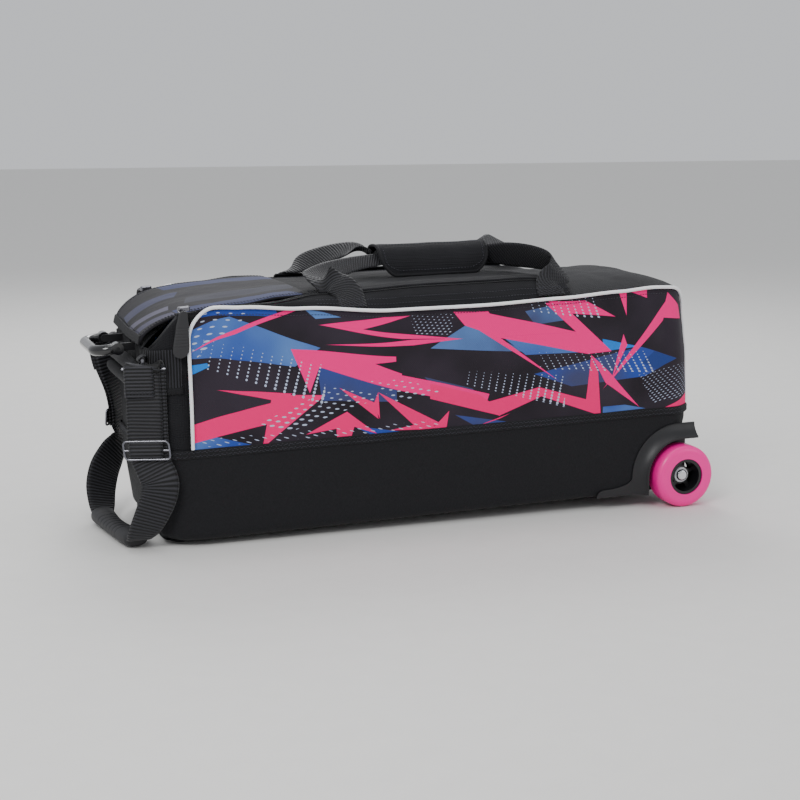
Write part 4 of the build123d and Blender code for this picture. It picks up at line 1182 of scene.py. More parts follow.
# ------------------------------------------------------------------------------------------
# Walls and base
# ------------------------------------------------------------------------------------------
@dataclass(frozen=True)
class Walls:
    """The soft printed walls, the black end walls, and the piping and band that edge them."""

    shop: Shop
    low: float = 118.0
    high: float = 296.0
    end_high: float = 256.0
    print_start: float = -340.0
    print_end: float = 408.0
    piping_radius: float = 2.4
    left_round: float = 34.0
    right_round: float = 52.0
    band_half: float = 6.0
    sag_keys: tuple[tuple[float, float], ...] = (
        (-400.0, 0.0), (-345.0, 4.0), (-303.0, 10.0), (-269.0, 8.0), (-190.0, 2.0), (-63.0, -8.0),
        (66.0, -9.0), (188.0, -6.0), (275.0, -2.0), (325.0, 1.0), (408.0, -4.0), (470.0, -6.0))
    fill_keys: tuple[tuple[float, float], ...] = (
        (346.0, 0.0), (380.0, 5.0), (398.0, 8.0), (414.0, 6.0), (434.0, 0.8))

    def sag(self, s: float) -> float:
        """How far the wall's top edge lies above or below level."""
        return through(self.sag_keys, s)

    def fill(self, s: float) -> float:
        """How far the padded wheel-end corners stand out, mm, at a place along the outline."""
        outline = self.shop.outline
        middle = outline.flat_x + outline.quarter + outline.flat_y
        if s > middle:
            s = 2 * middle - s
        return through(self.fill_keys, s) if s > 0 else 0.0

    def at(self, s: float, v: float, side: float = 1.0, out: float = 0.0) -> Point:
        """Returns a point on the wall.

        Args:
            s: mm along the outline from the middle of that side, positive to the wheels.
            v: height before the top edge sags, mm.
            side: 1 for the printed front, -1 for its mirror on the back.
            out: mm proud of the cloth.

        Returns:
            The bag point.
        """
        outline = self.shop.outline
        x, y, nx, ny = outline.at(s)
        t = max((v - self.low) / (self.high - self.low), 0.0)
        full = math.sin(math.pi * min(t, 1.0))
        taper = -9.0 * through(((330.0, 0.0), (400.0, 1.0)), s) * t ** 1.4
        near_end = through(((230.0, 0.0), (300.0, 1.0), (380.0, 1.0), (420.0, 0.0)), s)
        folds = 1.1 * near_end * full * math.sin(s / 9.5 + 2.2 * rumple(Vector((s, v, side)), 60.0, 2.0))
        puff = full * (2.4 + 1.6 * rumple(Vector((s, v, 40 * side)), 85.0, 5.0))
        crease = 0.5 * full * rumple(Vector((s * 0.6, v, 9 * side)), 22.0, 1.0)
        grow = out + taper + folds + puff + crease + self.fill(s) * (1 - 0.55 * min(t, 1.0))
        return x + nx * grow, side * (y + ny * grow), v + self.sag(s) * min(t, 1.0)

    def end_at(self, s: float, v: float, side: float = 1.0, out: float = 0.0) -> Point:
        """A point on the black wall at the pull end, which creases more than the printed one."""
        x, y, nx, ny = self.shop.outline.at(s)
        t = (v - self.low) / (self.high - self.low)
        full = math.sin(math.pi * min(max(t, 0.0), 1.0))
        place = Vector((s, v * 1.6, 30 * side))
        slant = Vector((s + 0.8 * v, v * 0.5, 11 * side))
        grow = out - 2.0 + full * (2.8 * rumple(place, 45.0, 3.0) + 1.7 * rumple(slant, 15.0, 7.0))
        return x + nx * grow, side * (y + ny * grow), v + self.sag(s) * min(max(t, 0.0), 1.0)

    def piping_line(self, side: float) -> list[Point]:
        """The piping's line up, over and down the printed panel's edge."""
        out = self.piping_radius + 0.3
        top = self.high + 1.5
        line = [(self.print_start, v) for v in span(self.low + 7, top - self.left_round, 8.0)]
        line += [(self.print_start + self.left_round * (1 - math.cos(a)),
                  top - self.left_round * (1 - math.sin(a)))
                 for a in span(0.0, math.pi / 2, 0.13)[1:]]
        line += [(s, top) for s in span(self.print_start + self.left_round,
                                        self.print_end - self.right_round, 8.0)[1:]]
        line += [(self.print_end - self.right_round * (1 - math.sin(a)),
                  top - self.right_round * (1 - math.cos(a)))
                 for a in span(0.0, math.pi / 2, 0.1)[1:]]
        line += [(self.print_end, v) for v in span(top - self.right_round, self.low + 7, 8.0)[1:]]
        return [self.at(s, v, side, out) for s, v in line]

    def top_of_end(self, s: float) -> float:
        """The height of the pull end's wall, which falls from the printed panel to the opening."""
        return through(((-398.0, self.end_high), (-342.0, self.high)), s)

    def build(self) -> None:
        """Makes every wall, the piping, the elastic panels and the seam band."""
        make, fit, outline = self.shop.maker, self.shop.fit, self.shop.outline
        half_round = outline.flat_x + outline.quarter + outline.flat_y
        for side, name in ((1.0, "front"), (-1.0, "back")):
            panel = make.patch(
                f"{name}_print", span(self.print_start, self.print_end, 4.0),
                span(self.low, self.high, 4.5), lambda s, v, k=side: self.at(s, v, k), PANEL_PRINT, 3.0)
            fit(panel, "root", "printed_cloth", f"{name}_panel")
            piping = self.shop.lines.wire(
                f"{name}_piping_cord", [self.piping_line(side)], self.piping_radius, PIPING)
            fit(piping, "root", "white_piping", f"{name}_piping")
            seam = [[self.at(s, self.high - 7.5, side, 0.5) for s in span(-300.0, 350.0, 3.0)]]
            stitch = self.shop.lines.along(f"{name}_edge_stitches", seam, 4.2, (0.45, 0.45, 1.6), THREAD)
            fit(stitch, "root", "body_cloth")
            elastic = make.patch(
                f"{name}_elastic", span(-404.0, -350.0, 0.7), span(202.0, 254.0, 4.0),
                lambda s, v, k=side: self.end_at(
                    s, v, k, 1.6 + 0.9 * abs(math.sin(math.pi * s / 3.9)) ** 0.7),
                ELASTIC, 1.2)
            fit(elastic, "root", "ribbed_elastic")
            hem = make.patch(
                f"{name}_elastic_hem", span(-405.0, -349.0, 3.0), span(197.0, 205.0, 1.5),
                lambda s, v, k=side: self.end_at(s, v, k, 2.6 + 0.8 * math.sin((v - 197) / 8 * math.pi)),
                TAPE_CLOTH, 1.2)
            fit(hem, "root", "binding_tape")
        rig.replaces(bpy.data.objects["front_elastic"], "elastic_panels")
        middle = -half_round
        left = make.patch(
            "pull_end_wall", span(middle, self.print_start + 2, 4.0), span(0.0, 1.0, 0.03),
            lambda s, t: self.end_at(s, self.low + t * (self.top_of_end(s) - self.low)), BAG_CLOTH, 2.5)
        other = make.patch(
            "pull_end_wall_back", span(middle, self.print_start + 2, 4.0), span(0.0, 1.0, 0.03),
            lambda s, t: self.end_at(s, self.low + t * (self.top_of_end(s) - self.low), -1.0),
            BAG_CLOTH, 2.5)
        fit(left, "root", "body_cloth", "left_end_panel")
        fit(other, "root", "body_cloth")
        for side, name in ((1.0, "wheel_end_wall"), (-1.0, "wheel_end_wall_back")):
            wall = make.patch(
                name, span(self.print_end - 1, half_round, 5.0), span(self.low, self.high, 5.0),
                lambda s, v, k=side: self.at(s, v, k, -0.6), BAG_CLOTH, 3.0)
            fit(wall, "root", "body_cloth")
        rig.replaces(bpy.data.objects["wheel_end_wall"], "right_end_panel")
        self.band()

    def band(self) -> None:
        """Makes the seam band and its two rows of crossed stitches."""
        outline = self.shop.outline

        def tape(s: float, v: float) -> Point:
            """A point on the tape, crowned across its width."""
            x, y, nx, ny = outline.at(s)
            bead = math.sqrt(max(1 - ((v - self.low) / self.band_half) ** 4, 0.0))
            grow = self.fill(s) + 0.5 + 1.6 * bead
            return x + nx * grow, y + ny * grow, v

        band = self.shop.maker.patch(
            "seam_tape", span(0.0, outline.length, 5.0)[:-1],
            span(self.low - self.band_half, self.low + self.band_half, 1.2), tape, TAPE_CLOTH, 1.0,
            ring=True)
        self.shop.fit(band, "root", "binding_tape", "seam_band")
        swing, pitch = 1.3, 2.9
        steps = span(0.0, outline.length, pitch)
        rows = [
            [self._proud(s, middle + swing * (1 - 2 * (i % 2))) for i, s in enumerate(steps)]
            for middle in (self.low - 2.6, self.low + 2.8)]
        stitches = self.shop.lines.along("seam_stitches", rows, pitch, (0.4, 0.4, 1.35), THREAD)
        self.shop.fit(stitches, "root", "binding_tape")

    def _proud(self, s: float, v: float) -> Point:
        """A point just proud of the seam tape."""
        x, y, nx, ny = self.shop.outline.at(s)
        grow = self.fill(s) + 2.1
        return x + nx * grow, y + ny * grow, v


@dataclass(frozen=True)
class Base:
    """The cloth-covered rigid base, its plastic tub, and the cups and dividers inside it."""

    shop: Shop
    walls: Walls
    height: float = 117.0
    edge_radius: float = 13.0
    axle_x: float = 371.0
    axle_z: float = 25.0
    well_radius: float = 55.6
    well_depth: float = 17.5
    ball_radius: float = 108.0
    bay_pitch: float = 255.0
    cup_base: float = 5.2
    cup_top: float = 45.2

    def build(self) -> None:
        """Makes the cover with its wheel wells, and the padded cups and dividers."""
        cover = self._shell("base_shell", 0.0, 1.4, BASE_CLOTH)
        tub = self._shell("tub_shell", 2.0, 3.0, HOUSING)
        for shell in (cover, tub):
            for side in (-1.0, 1.0):
                cutter = self._well(side)
                cut = shell.modifiers.new("Well", "BOOLEAN")
                cut.operation, cut.solver, cut.object = "DIFFERENCE", "EXACT", cutter
                settle(shell)
                bpy.data.objects.remove(cutter)
        self.shop.fit(cover, "root", "base_cloth", "base_cover")
        self.shop.fit(tub, "root", "tub_plastic", "base_tub")
        for number, name in ((-1, "left"), (0, "middle"), (1, "right")):
            cup = self._cup(f"cup_{name}", number * self.bay_pitch)
            self.shop.fit(cup, "root", "cup_foam", f"ball_cup_{name}")
            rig.padded(cup, fill=1.0)
        for number in (-1, 1):
            divider = self._divider(number)
            self.shop.fit(divider, "root", "cup_foam", *(("dividers",) if number < 0 else ()))
            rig.padded(divider, fill=1.0)

    def _shell(self, name: str, inset: float, thick: float, finish: Finish) -> bpy.types.Object:
        """Makes a closed shell of the base, drawn in towards the pull end's foot.

        Args:
            name: the piece's name.
            inset: mm inside the base's outer face.
            thick: its wall, mm.
            finish: its finish.

        Returns:
            The shell, without its wheel wells.
        """
        outline = self.shop.outline
        radius = self.edge_radius
        rows = [(-70.0, inset), (-34.0, inset), (-radius - 4, inset)]
        rows += [(-inset - (radius - inset) * (1 - math.sin(a)), inset + (radius - inset) * (1 - math.cos(a)))
                 for a in span(0.0, math.pi / 2, 0.2)]
        rows += [(-inset, z) for z in span(radius, self.height, 7.0)[1:]]
        stations = span(0.0, outline.length, 7.0)[:-1]
        points = []
        for s in stations:
            x, y, nx, ny = outline.at(s)
            for inward, z in rows:
                pull = through(((-386.0, 1.0), (-320.0, 0.0)), x)
                share = math.sin(math.pi * min(z / self.height, 1.0))
                ease = 1.2 * share * rumple(Vector((x, y, z)), 70.0, 4.0)
                swell_up = self.walls.fill(s) * through(((80.0, 0.0), (106.0, 0.75)), z)
                grow = inward - 13.0 * pull * (1 - z / self.height) + ease + 0.8 * share + swell_up
                if inward < -radius:
                    grow = inward
                points.append((x + nx * grow, y + ny * grow, z))
        wide = len(rows)
        count = len(stations)
        faces = [(i * wide + j, (i + 1) % count * wide + j, (i + 1) % count * wide + j + 1,
                  i * wide + j + 1) for i in range(count) for j in range(wide - 1)]
        faces.append(tuple(i * wide for i in reversed(range(count))))
        shell = self.shop.maker.piece(name, points, faces, finish, away=(0.0, 0.0, 60.0))
        wall = shell.modifiers.new("Thickness", "SOLIDIFY")
        wall.thickness, wall.offset = thick * MM, -1.0
        settle(shell)
        return shell

    def _well(self, side: float) -> bpy.types.Object:
        """A block the shape of a wheel well, to cut the cover with."""
        ring = [(self.axle_x + self.well_radius * math.cos(a), self.axle_z + self.well_radius * math.sin(a))
                for a in span(math.pi / 2, math.pi, 0.06)]
        ring += [(self.axle_x - self.well_radius, -8.0), (402.0, -8.0),
                 (402.0, self.axle_z + self.well_radius)]
        near, far = side * (135.0 - self.well_depth), side * 145.0
        points = [(x, y, z) for y in (near, far) for x, z in ring]
        count = len(ring)
        faces = [tuple(range(count)), tuple(range(count, 2 * count))]
        faces += [(i, (i + 1) % count, count + (i + 1) % count, count + i) for i in range(count)]
        return self.shop.maker.piece("Well", points, faces, BASE_CLOTH, closed=True)

    def _cup(self, name: str, middle: float) -> bpy.types.Object:
        """A foam-filled cup, dished to the ball, under grey cloth."""
        centre_z = self.cup_base + 8.0 + self.ball_radius
        dish = math.sqrt(self.ball_radius ** 2 - (centre_z - self.cup_top + 2) ** 2)
        points, faces, turns = [(middle, 0.0, centre_z - self.ball_radius)], [], 56
        rings = [(r, None) for r in span(0.0, dish, 7.0)[1:]]
        rings += [(0.25, self.cup_top), (0.62, self.cup_top + 0.4), (0.92, self.cup_top - 0.8),
                  (0.99, self.cup_top - 4), (1.0, self.cup_top - 14), (1.0, self.cup_base + 4),
                  (0.985, self.cup_base + 0.6)]
        for value, height in rings:
            for j in range(turns):
                a = math.tau * j / turns
                ca, sa = math.cos(a), math.sin(a)
                edge_x = 98.0 * math.copysign(abs(ca) ** 0.4, ca)
                edge_y = 108.0 * math.copysign(abs(sa) ** 0.4, sa)
                if height is None:
                    x, y = value * ca, value * sa
                    z = centre_z - math.sqrt(self.ball_radius ** 2 - value ** 2)
                else:
                    x = dish * ca + (edge_x - dish * ca) * value
                    y = dish * sa + (edge_y - dish * sa) * value
                    z = height
                points.append((middle + x, y, z))
        faces += [(0, 1 + j, 1 + (j + 1) % turns) for j in range(turns)]
        for i in range(len(rings) - 1):
            for j in range(turns):
                k = (j + 1) % turns
                faces.append((1 + i * turns + j, 1 + (i + 1) * turns + j,
                              1 + (i + 1) * turns + k, 1 + i * turns + k))
        faces.append(tuple(1 + (len(rings) - 1) * turns + j for j in range(turns)))
        return self.shop.maker.piece(name, points, faces, LINING, closed=True)

    def _divider(self, number: int) -> bpy.types.Object:
        """A foam sheet between two bays, with pinched edges."""
        sections = []
        for y in span(-121.0, 121.0, 6.0):
            sections.append((Vector((number * self.bay_pitch / 2, y, self.cup_base + 75.0)),
                             Vector((1, 0, 0)), Vector((0, 0, 1))))
        last = len(sections) - 1

        def shape(angle: float, i: int) -> tuple[float, float]:
            """A slab's section with pinched rims."""
            pinch = 0.3 + 0.7 * math.sqrt(max(1 - abs(2 * i / last - 1) ** 12, 0.0))
            ca, sa = math.cos(angle), math.sin(angle)
            return (3.7 * pinch * math.copysign(abs(ca) ** 0.6, ca),
                    74.0 * math.copysign(abs(sa) ** 0.25, sa))

        return self.shop.maker.tube(f"divider_{'left' if number < 0 else 'right'}", sections, LINING,
                                    shape, 32)


# ------------------------------------------------------------------------------------------
# Top: strips, zips, lid
# ------------------------------------------------------------------------------------------
@dataclass(frozen=True)
class Top:
    """The soft top: strips up to the zips, the closed end, the lid and its free end."""

    shop: Shop
    walls: Walls
    fold_x: float = -175.0
    stop_x: float = 198.0
    end_x: float = 381.0
    lid_half: float = 103.7
    zip_keys: tuple[tuple[float, float], ...] = ((-352.0, -126.0), (-215.0, -126.0), (-160.0, -110.0))
    zip_fall: tuple[tuple[float, float], ...] = (
        (-352.0, 300.0), (-250.0, 306.0), (-160.0, 313.0), (0.0, 319.0), (120.0, 319.0), (198.0, 315.0))
    flap_keys: tuple[tuple[float, float, float], ...] = (
        (-174.0, 316.5, 104.0), (-184.0, 316.0, 114.0), (-215.0, 313.0, 118.0), (-263.0, 308.5, 119.0),
        (-310.0, 304.5, 119.0), (-342.0, 300.0, 117.0), (-368.0, 290.0, 108.0), (-386.0, 277.0, 98.0),
        (-395.0, 264.0, 91.5))

    def zip_y(self, x: float) -> float:
        """The zip's distance from the middle, as a front-side y."""
        return through(self.zip_keys, x)

    def zip_z(self, x: float) -> float:
        """The zip tape's height, easing with the wall below it."""
        return through(self.zip_fall, x) + 0.35 * min(self.walls.sag(x), 0.0)

    def build(self) -> None:
        """Makes the strips, zips, lid panels and the flap over the pull end."""
        for side, name in ((1.0, "front"), (-1.0, "back")):
            self._strip(name, side)
            self._zip(name, side)
        self._lid()
        self._closed_end()
        self._flap()
        self._mouth()

    def _strip(self, name: str, side: float) -> None:
        """The padded strip from the piping up to the zip, with two rows of stitches."""
        def at(x: float, t: float, out: float = 0.0) -> Point:
            """A point up the strip, which swells between its seams."""
            low = Vector(self.walls.at(x, self.walls.high, side))
            high = Vector((x, side * (self.zip_y(x) - 5.5), self.zip_z(x) - 0.4))
            place = low.lerp(high, t)
            swelling = 2.6 * math.sin(math.pi * t) + 0.8 * rumple(Vector((x, 30 * t, side)), 24.0, 8.0)
            normal = Vector((0.0, -side * 0.62, 0.78))
            return tuple(place + normal * (swelling * min(1.0, 4 * t, 4 * (1 - t)) + out))

        stop = self.stop_x + 2
        strip = self.shop.maker.patch(
            f"{name}_strip", span(-344.0, stop, 4.0), span(0.0, 1.0, 0.1), at, BAG_CLOTH, 2.0)
        self.shop.fit(strip, "root", "body_cloth", f"{name}_top_strip")
        rows = [[at(x, t, 0.3) for x in span(-165.0, stop - 4, 3.0)] for t in (0.3, 0.55)]
        stitches = self.shop.lines.along(f"{name}_strip_stitches", rows, 4.4, (0.45, 0.45, 1.6), THREAD)
        self.shop.fit(stitches, "root", "body_cloth")

    def _zip(self, name: str, side: float) -> None:
        """The zip's tape with its coil of teeth."""
        keys = [(x, side * self.zip_y(x), self.zip_z(x) + 0.4, 0.0, 1.0, 0.0, 12.0)
                for x in span(-352.0, self.stop_x, 14.0)]
        tape = self.shop.maker.ribbon(f"{name}_zip_cloth", keys, TAPE_CLOTH, 1.2, step=4.0, samples=6)
        self.shop.fit(tape, "root", "zip_tape", f"{name}_zip_tape")
        line = [(x, side * self.zip_y(x), self.zip_z(x) + 1.3) for x in span(-326.0, self.stop_x, 4.0)]
        teeth = self.shop.lines.along(f"{name}_zip_teeth", [line], 2.2, (0.75, 2.3, 0.8), ACETAL, False)
        self.shop.fit(teeth, "root", "zip_tape")

    def lid_at(self, x: float, y: float, out: float = 0.0) -> Point:
        """A point on the lid's crown, with shallow lengthwise and slanting creases."""
        edge = self.zip_z(x) + 1.0
        full = max(1 - abs(y / self.lid_half) ** 2.4, 0.0)
        place = Vector((x * 0.7, y, 0.0))
        soft = full * (2.6 * rumple(place, 60.0, 6.0) + 0.9 * rumple(place, 21.0, 2.0))
        return x, y, edge + 3.5 * full + soft + out

    def _lid(self) -> None:
        """The lid between the zips, with a bound and stitched edge beside each."""
        lid = self.shop.maker.patch(
            "lid_cloth", span(self.fold_x, self.stop_x, 4.5), span(-self.lid_half, self.lid_half, 4.5),
            self.lid_at, BAG_CLOTH, 3.0)
        self.shop.fit(lid, "root", "body_cloth", "lid_panel")
        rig.padded(lid, fill=0.4)
        for side, name in ((-1.0, "front"), (1.0, "back")):
            flap = self.shop.maker.ribbon(
                f"{name}_storm_flap",
                [(x, side * (-self.zip_y(x) - 4.5), self.zip_z(x) + 4.2 + 0.6 * rumple(
                    Vector((x, 0, side)), 30.0, 1.0), 0.0, 1.0, -0.35 * side, 13.0)
                 for x in span(-158.0, self.stop_x - 2, 12.0)],
                BAG_CLOTH, 2.6, step=4.0, samples=5)
            self.shop.fit(flap, "root", "body_cloth")
            rows = [[self.lid_at(x, side * y, 0.4) for x in span(-165.0, 190.0, 3.0)] for y in (94.0, 88.0)]
            stitches = self.shop.lines.along(f"{name}_lid_stitches", rows, 4.4, (0.45, 0.45, 1.6), THREAD)
            self.shop.fit(stitches, "root", "body_cloth")

    def _closed_end(self) -> None:
        """The closed top over the wheel end, falling to the wall's rounded corners."""
        def half(x: float) -> float:
            """Half the top's width, drawn in round the corners."""
            t = max((x - 338.0) / (self.end_x - 338.0), 0.0)
            return 86.0 + 47.0 * math.sqrt(max(1 - t ** 2.2, 0.0))

        def at(x: float, share: float, out: float = 0.0) -> Point:
            """A point on the crown."""
            y = share * half(x)
            rim = self.walls.high + self.walls.sag(x) * (0.5 + 0.5 * abs(share)) + 1.2
            end = math.sqrt(max(1 - max((x - 250.0) / (self.end_x - 250.0), 0.0) ** 2.6, 0.0))
            rise = (1 - abs(share) ** 2.6) * 19.0 * (0.25 + 0.75 * end) * (1 if x < self.end_x else 0)
            drop = through(((198.0, 0.0), (340.0, -4.0), (381.0, -12.0)), x) * (1 - abs(share)) * 0.6
            place = Vector((x, y, 0.0))
            soft = (1 - share ** 4) * (2.2 * rumple(place, 55.0, 9.0) + 0.8 * rumple(place, 19.0, 3.0)) * end
            return x, y, rim + rise + drop + soft + out

        cloth = self.shop.maker.patch(
            "closed_top", span(self.stop_x, self.end_x, 4.0), span(-1.0, 1.0, 0.035), at, BAG_CLOTH, 3.0,
            cloth=lambda x, t: (x, t * 130.0))
        self.shop.fit(cloth, "root", "body_cloth", "top_end_panel")
        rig.padded(cloth, fill=0.4)
        line = [[at(self.stop_x + 5, t, 0.5) for t in span(-0.78, 0.78, 0.02)]]
        stitches = self.shop.lines.along("closed_top_stitches", line, 4.4, (0.45, 0.45, 1.6), THREAD)
        self.shop.fit(stitches, "root", "body_cloth")

    def flap_at(self, u: float, share: float, out: float = 0.0) -> Point:
        """A point on the lid's free end.

        Args:
            u: from 0 at the fold to 1 at the hem.
            share: from -1 to 1 across it.
            out: mm proud of it.

        Returns:
            The bag point.
        """
        rows = self._flap_rows()
        place = u * (len(rows) - 1)
        i = min(int(place), len(rows) - 2)
        x, z, half = (a + (b - a) * (place - i) for a, b in zip(rows[i], rows[i + 1]))
        y = share * half
        crown = 5.0 * (1 - share ** 2) * math.sin(math.pi * min(u * 1.1 + 0.1, 1.0))
        spot = Vector((x * 0.8, y, 20.0))
        soft = (1 - share ** 6) * (2.0 * rumple(spot, 50.0, 4.0) + 0.8 * rumple(spot, 18.0, 6.0))
        curl = 2.2 * abs(share) ** 8 * rumple(Vector((x, 0, share)), 40.0, 2.0)
        lift = crown + soft * math.sin(math.pi * min(u + 0.1, 1.0)) + curl + out
        slope = through(((0.55, 0.0), (0.95, 1.0)), u)
        return (x - lift * slope * 0.7, y,
                z + lift * (1 - 0.6 * slope) + 6.0 * max(share, 0.0) * min(3 * u, 1.0))

    def _flap_rows(self) -> list[list[float]]:
        """The flap's middle line and half width, sampled smoothly."""
        return spline(self.flap_keys, 6)

    def _flap(self) -> None:
        """The printed free end of the lid, its hem and its stitched edges."""
        flap = self.shop.maker.patch(
            "lid_flap_cloth", span(0.0, 1.0, 0.02), span(-1.0, 1.0, 0.04), self.flap_at, LID_PRINT, 3.0,
            cloth=lambda u, t: (-175 - 222 * u, t * 118))
        self.shop.fit(flap, "lid_flap", "body_cloth", "lid_end")
        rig.padded(flap, fill=0.35)
        hem = self.shop.maker.ribbon(
            "flap_hem", [(*self.flap_at(0.985, t, -1.2), 0.25, 0.0, 1.0, 13.0)
                         for t in span(-1.0, 1.0, 0.1)], TAPE_CLOTH, 3.4, step=4.0, samples=4)
        self.shop.fit(hem, "lid_flap", "binding_tape", "lid_hem")
        rows = [[self.flap_at(u, t, 0.4) for u in span(0.06, 0.95, 0.012)]
                for t in (-0.955, -0.91, 0.91, 0.955)]
        rows += [[self.flap_at(u, t, 0.4) for t in span(-0.95, 0.95, 0.02)] for u in (0.92, 0.945)]
        stitches = self.shop.lines.along("flap_stitches", rows, 4.4, (0.45, 0.45, 1.6), THREAD)
        self.shop.fit(stitches, "lid_flap", "body_cloth")

    def _mouth(self) -> None:
        """The folded gussets beside the flap and the lining that shows under it."""
        for side, name in ((1.0, "front"), (-1.0, "back")):
            def at(s: float, t: float, k: float = side) -> Point:
                """A point from the wall's falling edge in to the zip's end."""
                low = Vector(self.walls.end_at(s, self.walls.top_of_end(s), k))
                x = through(((-398.0, -384.0), (-342.0, -346.0)), s)
                high = Vector((x, -k * 112.0, through(((-398.0, 259.0), (-342.0, 300.0)), s)))
                spot = Vector((s, 40 * t, k))
                return tuple(low.lerp(high, t) + Vector((-0.3, -0.4 * k, 0.8)) * (
                    math.sin(math.pi * t) * (2.0 + 2.0 * rumple(spot, 16.0, 5.0))))

            gusset = self.shop.maker.patch(
                f"{name}_gusset", span(-398.0, -342.0, 3.0), span(0.0, 1.0, 0.1), at, BAG_CLOTH, 2.0)
            self.shop.fit(gusset, "root", "body_cloth", *(("shoulders",) if side > 0 else ()))

        def lining(y: float, t: float) -> Point:
            """A point up the soft lining inside the opening."""
            x = -390.0 + 34.0 * t + 3.0 * rumple(Vector((y, 30 * t, 0)), 26.0, 4.0)
            return x, y * (1 + 0.05 * t), 254.5 + 34.0 * t ** 0.8 + 2.0 * math.sin(y / 15.0) * t * (1 - t) * 2

        mouth = self.shop.maker.patch("mouth_lining", span(-94.0, 94.0, 4.0), span(0.0, 1.0, 0.08),
                                      lining, BAG_CLOTH, 1.6)
        self.shop.fit(mouth, "root", "body_cloth")


# ------------------------------------------------------------------------------------------
# Carry handles
# ------------------------------------------------------------------------------------------
@dataclass(frozen=True)
class CarryHandles:
    """Four webbing legs that meet in a padded wrap-over grip."""

    shop: Shop
    grip_low_x: float = -40.0
    grip_high_x: float = 120.0
    grip_z: float = 347.0
    grip_wide: float = 25.0
    grip_tall: float = 15.5
    flap_profile: tuple[tuple[float, float], ...] = (
        (24.0, 4.0), (17.0, 14.0), (4.0, 17.2), (-10.0, 16.5), (-21.0, 10.0), (-28.0, -1.0),
        (-31.5, -13.0), (-32.5, -24.0))
    legs: tuple[tuple[str, float, tuple[tuple[float, ...], ...]], ...] = (
        ("front_left", -1.0, (
            (-118, 134.0, 296, 1, 0, 0, 40), (-118, 127, 305, 1, 0, 0, 40),
            (-120, 118, 316, 1, 0, 0.1, 40), (-132, 108, 326, 0.9, 0.3, -0.1, 40),
            (-150, 94, 331, 0.7, 0.65, -0.1, 40), (-148, 70, 333, 0.25, 0.9, -0.3, 38),
            (-118, 44, 337, 0.0, 0.85, -0.55, 34), (-78, 24, 342, 0, 0.8, -0.6, 28),
            (-37, 13, 345, 0, 0.8, -0.6, 24))),
        ("front_right", -1.0, (
            (171, 134.0, 296, 1, 0, 0, 40), (171, 127, 305, 1, 0, 0, 40),
            (176, 120, 314, 0.98, -0.05, -0.15, 40), (192, 112, 324, 0.85, -0.15, -0.5, 40),
            (196, 92, 335, 0.62, -0.25, -0.75, 40), (176, 62, 342, 0.3, -0.35, -0.88, 40),
            (148, 34, 345, 0.1, -0.4, -0.9, 38), (118, 13, 346, 0, -0.5, -0.85, 28))),
        ("back_left", 1.0, (
            (-128, 134.0, 296, 1, 0, 0, 40), (-132, 127, 305, 1, 0, 0, 40),
            (-138, 120, 315, 0.9, 0.1, 0.3, 40), (-128, 110, 328, 0.7, 0.3, 0.55, 40),
            (-98, 94, 341, 0.45, 0.5, 0.7, 40), (-66, 70, 352, 0.3, 0.8, 0.5, 38),
            (-48, 40, 354, 0, 0.95, 0.0, 32), (-37, 13, 348, 0, 0.95, -0.2, 26))),
        ("back_right", 1.0, (
            (171, 134.0, 296, 1, 0, 0, 40), (171, 126, 305, 1, 0, 0, 40),
            (180, 113, 321, 1, 0, -0.1, 40), (194, 97, 338, 0.9, -0.3, -0.2, 40),
            (186, 74, 352, 0.6, -0.6, -0.3, 40), (160, 46, 358, 0.2, -0.85, -0.4, 34),
            (118, 14, 349, 0, -0.9, -0.4, 24))),
    )

    def build(self) -> None:
        """Makes the legs, which stretch up with the grip, then the grip."""
        place = self.shop.maker.frame.place
        for name, side, keys in self.legs:
            turned = [(x, side * y, z, ax, side * ay, az, wide) for x, y, z, ax, ay, az, wide in keys]
            leg = self.shop.maker.ribbon(f"{name}_webbing", turned, STRAP, 2.2, 2.6, 0.35)
            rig.slot(leg, "webbing")
            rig.blend(leg, "root", "carry_grip", place(0, 0, 312), place(0, 0, self.grip_z - 4))
            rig.replaces(leg, f"{name}_leg")
            self._box_stitch(name, turned[0], side)
        self._grip()

    def _box_stitch(self, name: str, foot: Sequence[float], side: float) -> None:
        """A sewn box with a cross where a leg is sewn to the strip."""
        x, y, z = foot[:3]
        low = Vector((x, y, z)) + Vector((0, side * 1.4, 1.6))
        rise = Vector((0, -side * 8.0, 9.0))
        corners = [low + rise * t + Vector((dx, 0, 0))
                   for dx, t in ((-15, 0.1), (15, 0.1), (15, 1), (-15, 1))]
        lines = []
        for a, b in ((0, 1), (1, 2), (2, 3), (3, 0), (0, 2), (1, 3)):
            lines.append([tuple(corners[a].lerp(corners[b], t)) for t in span(0.0, 1.0, 0.1)])
        stitches = self.shop.lines.along(f"{name}_foot_stitches", lines, 3.6, (0.45, 0.45, 1.3), THREAD)
        self.shop.fit(stitches, "root", "webbing")

    def _round(self, angle: float, wide: float, tall: float) -> tuple[float, float]:
        """A softly squared section."""
        ca, sa = math.cos(angle), math.sin(angle)
        return (wide * math.copysign(abs(ca) ** 0.82, ca), tall * math.copysign(abs(sa) ** 0.82, sa))

    def _grip(self) -> None:
        """The padded wrap, its overlapping flap, bound edge and stitches."""
        stations = span(self.grip_low_x + 1, self.grip_high_x - 1, 5.0)
        sections = [(Vector((x, 0, self.grip_z)), Vector((0, 1, 0)), Vector((0, 0, 1))) for x in stations]
        last = len(sections) - 1

        def core(angle: float, i: int) -> tuple[float, float]:
            """The pad's section, rounded off at both ends."""
            end = 0.72 + 0.28 * math.sqrt(max(1 - abs(2 * i / last - 1) ** 8, 0.0))
            return self._round(angle, (self.grip_wide - 4) * end, (self.grip_tall - 4) * end)

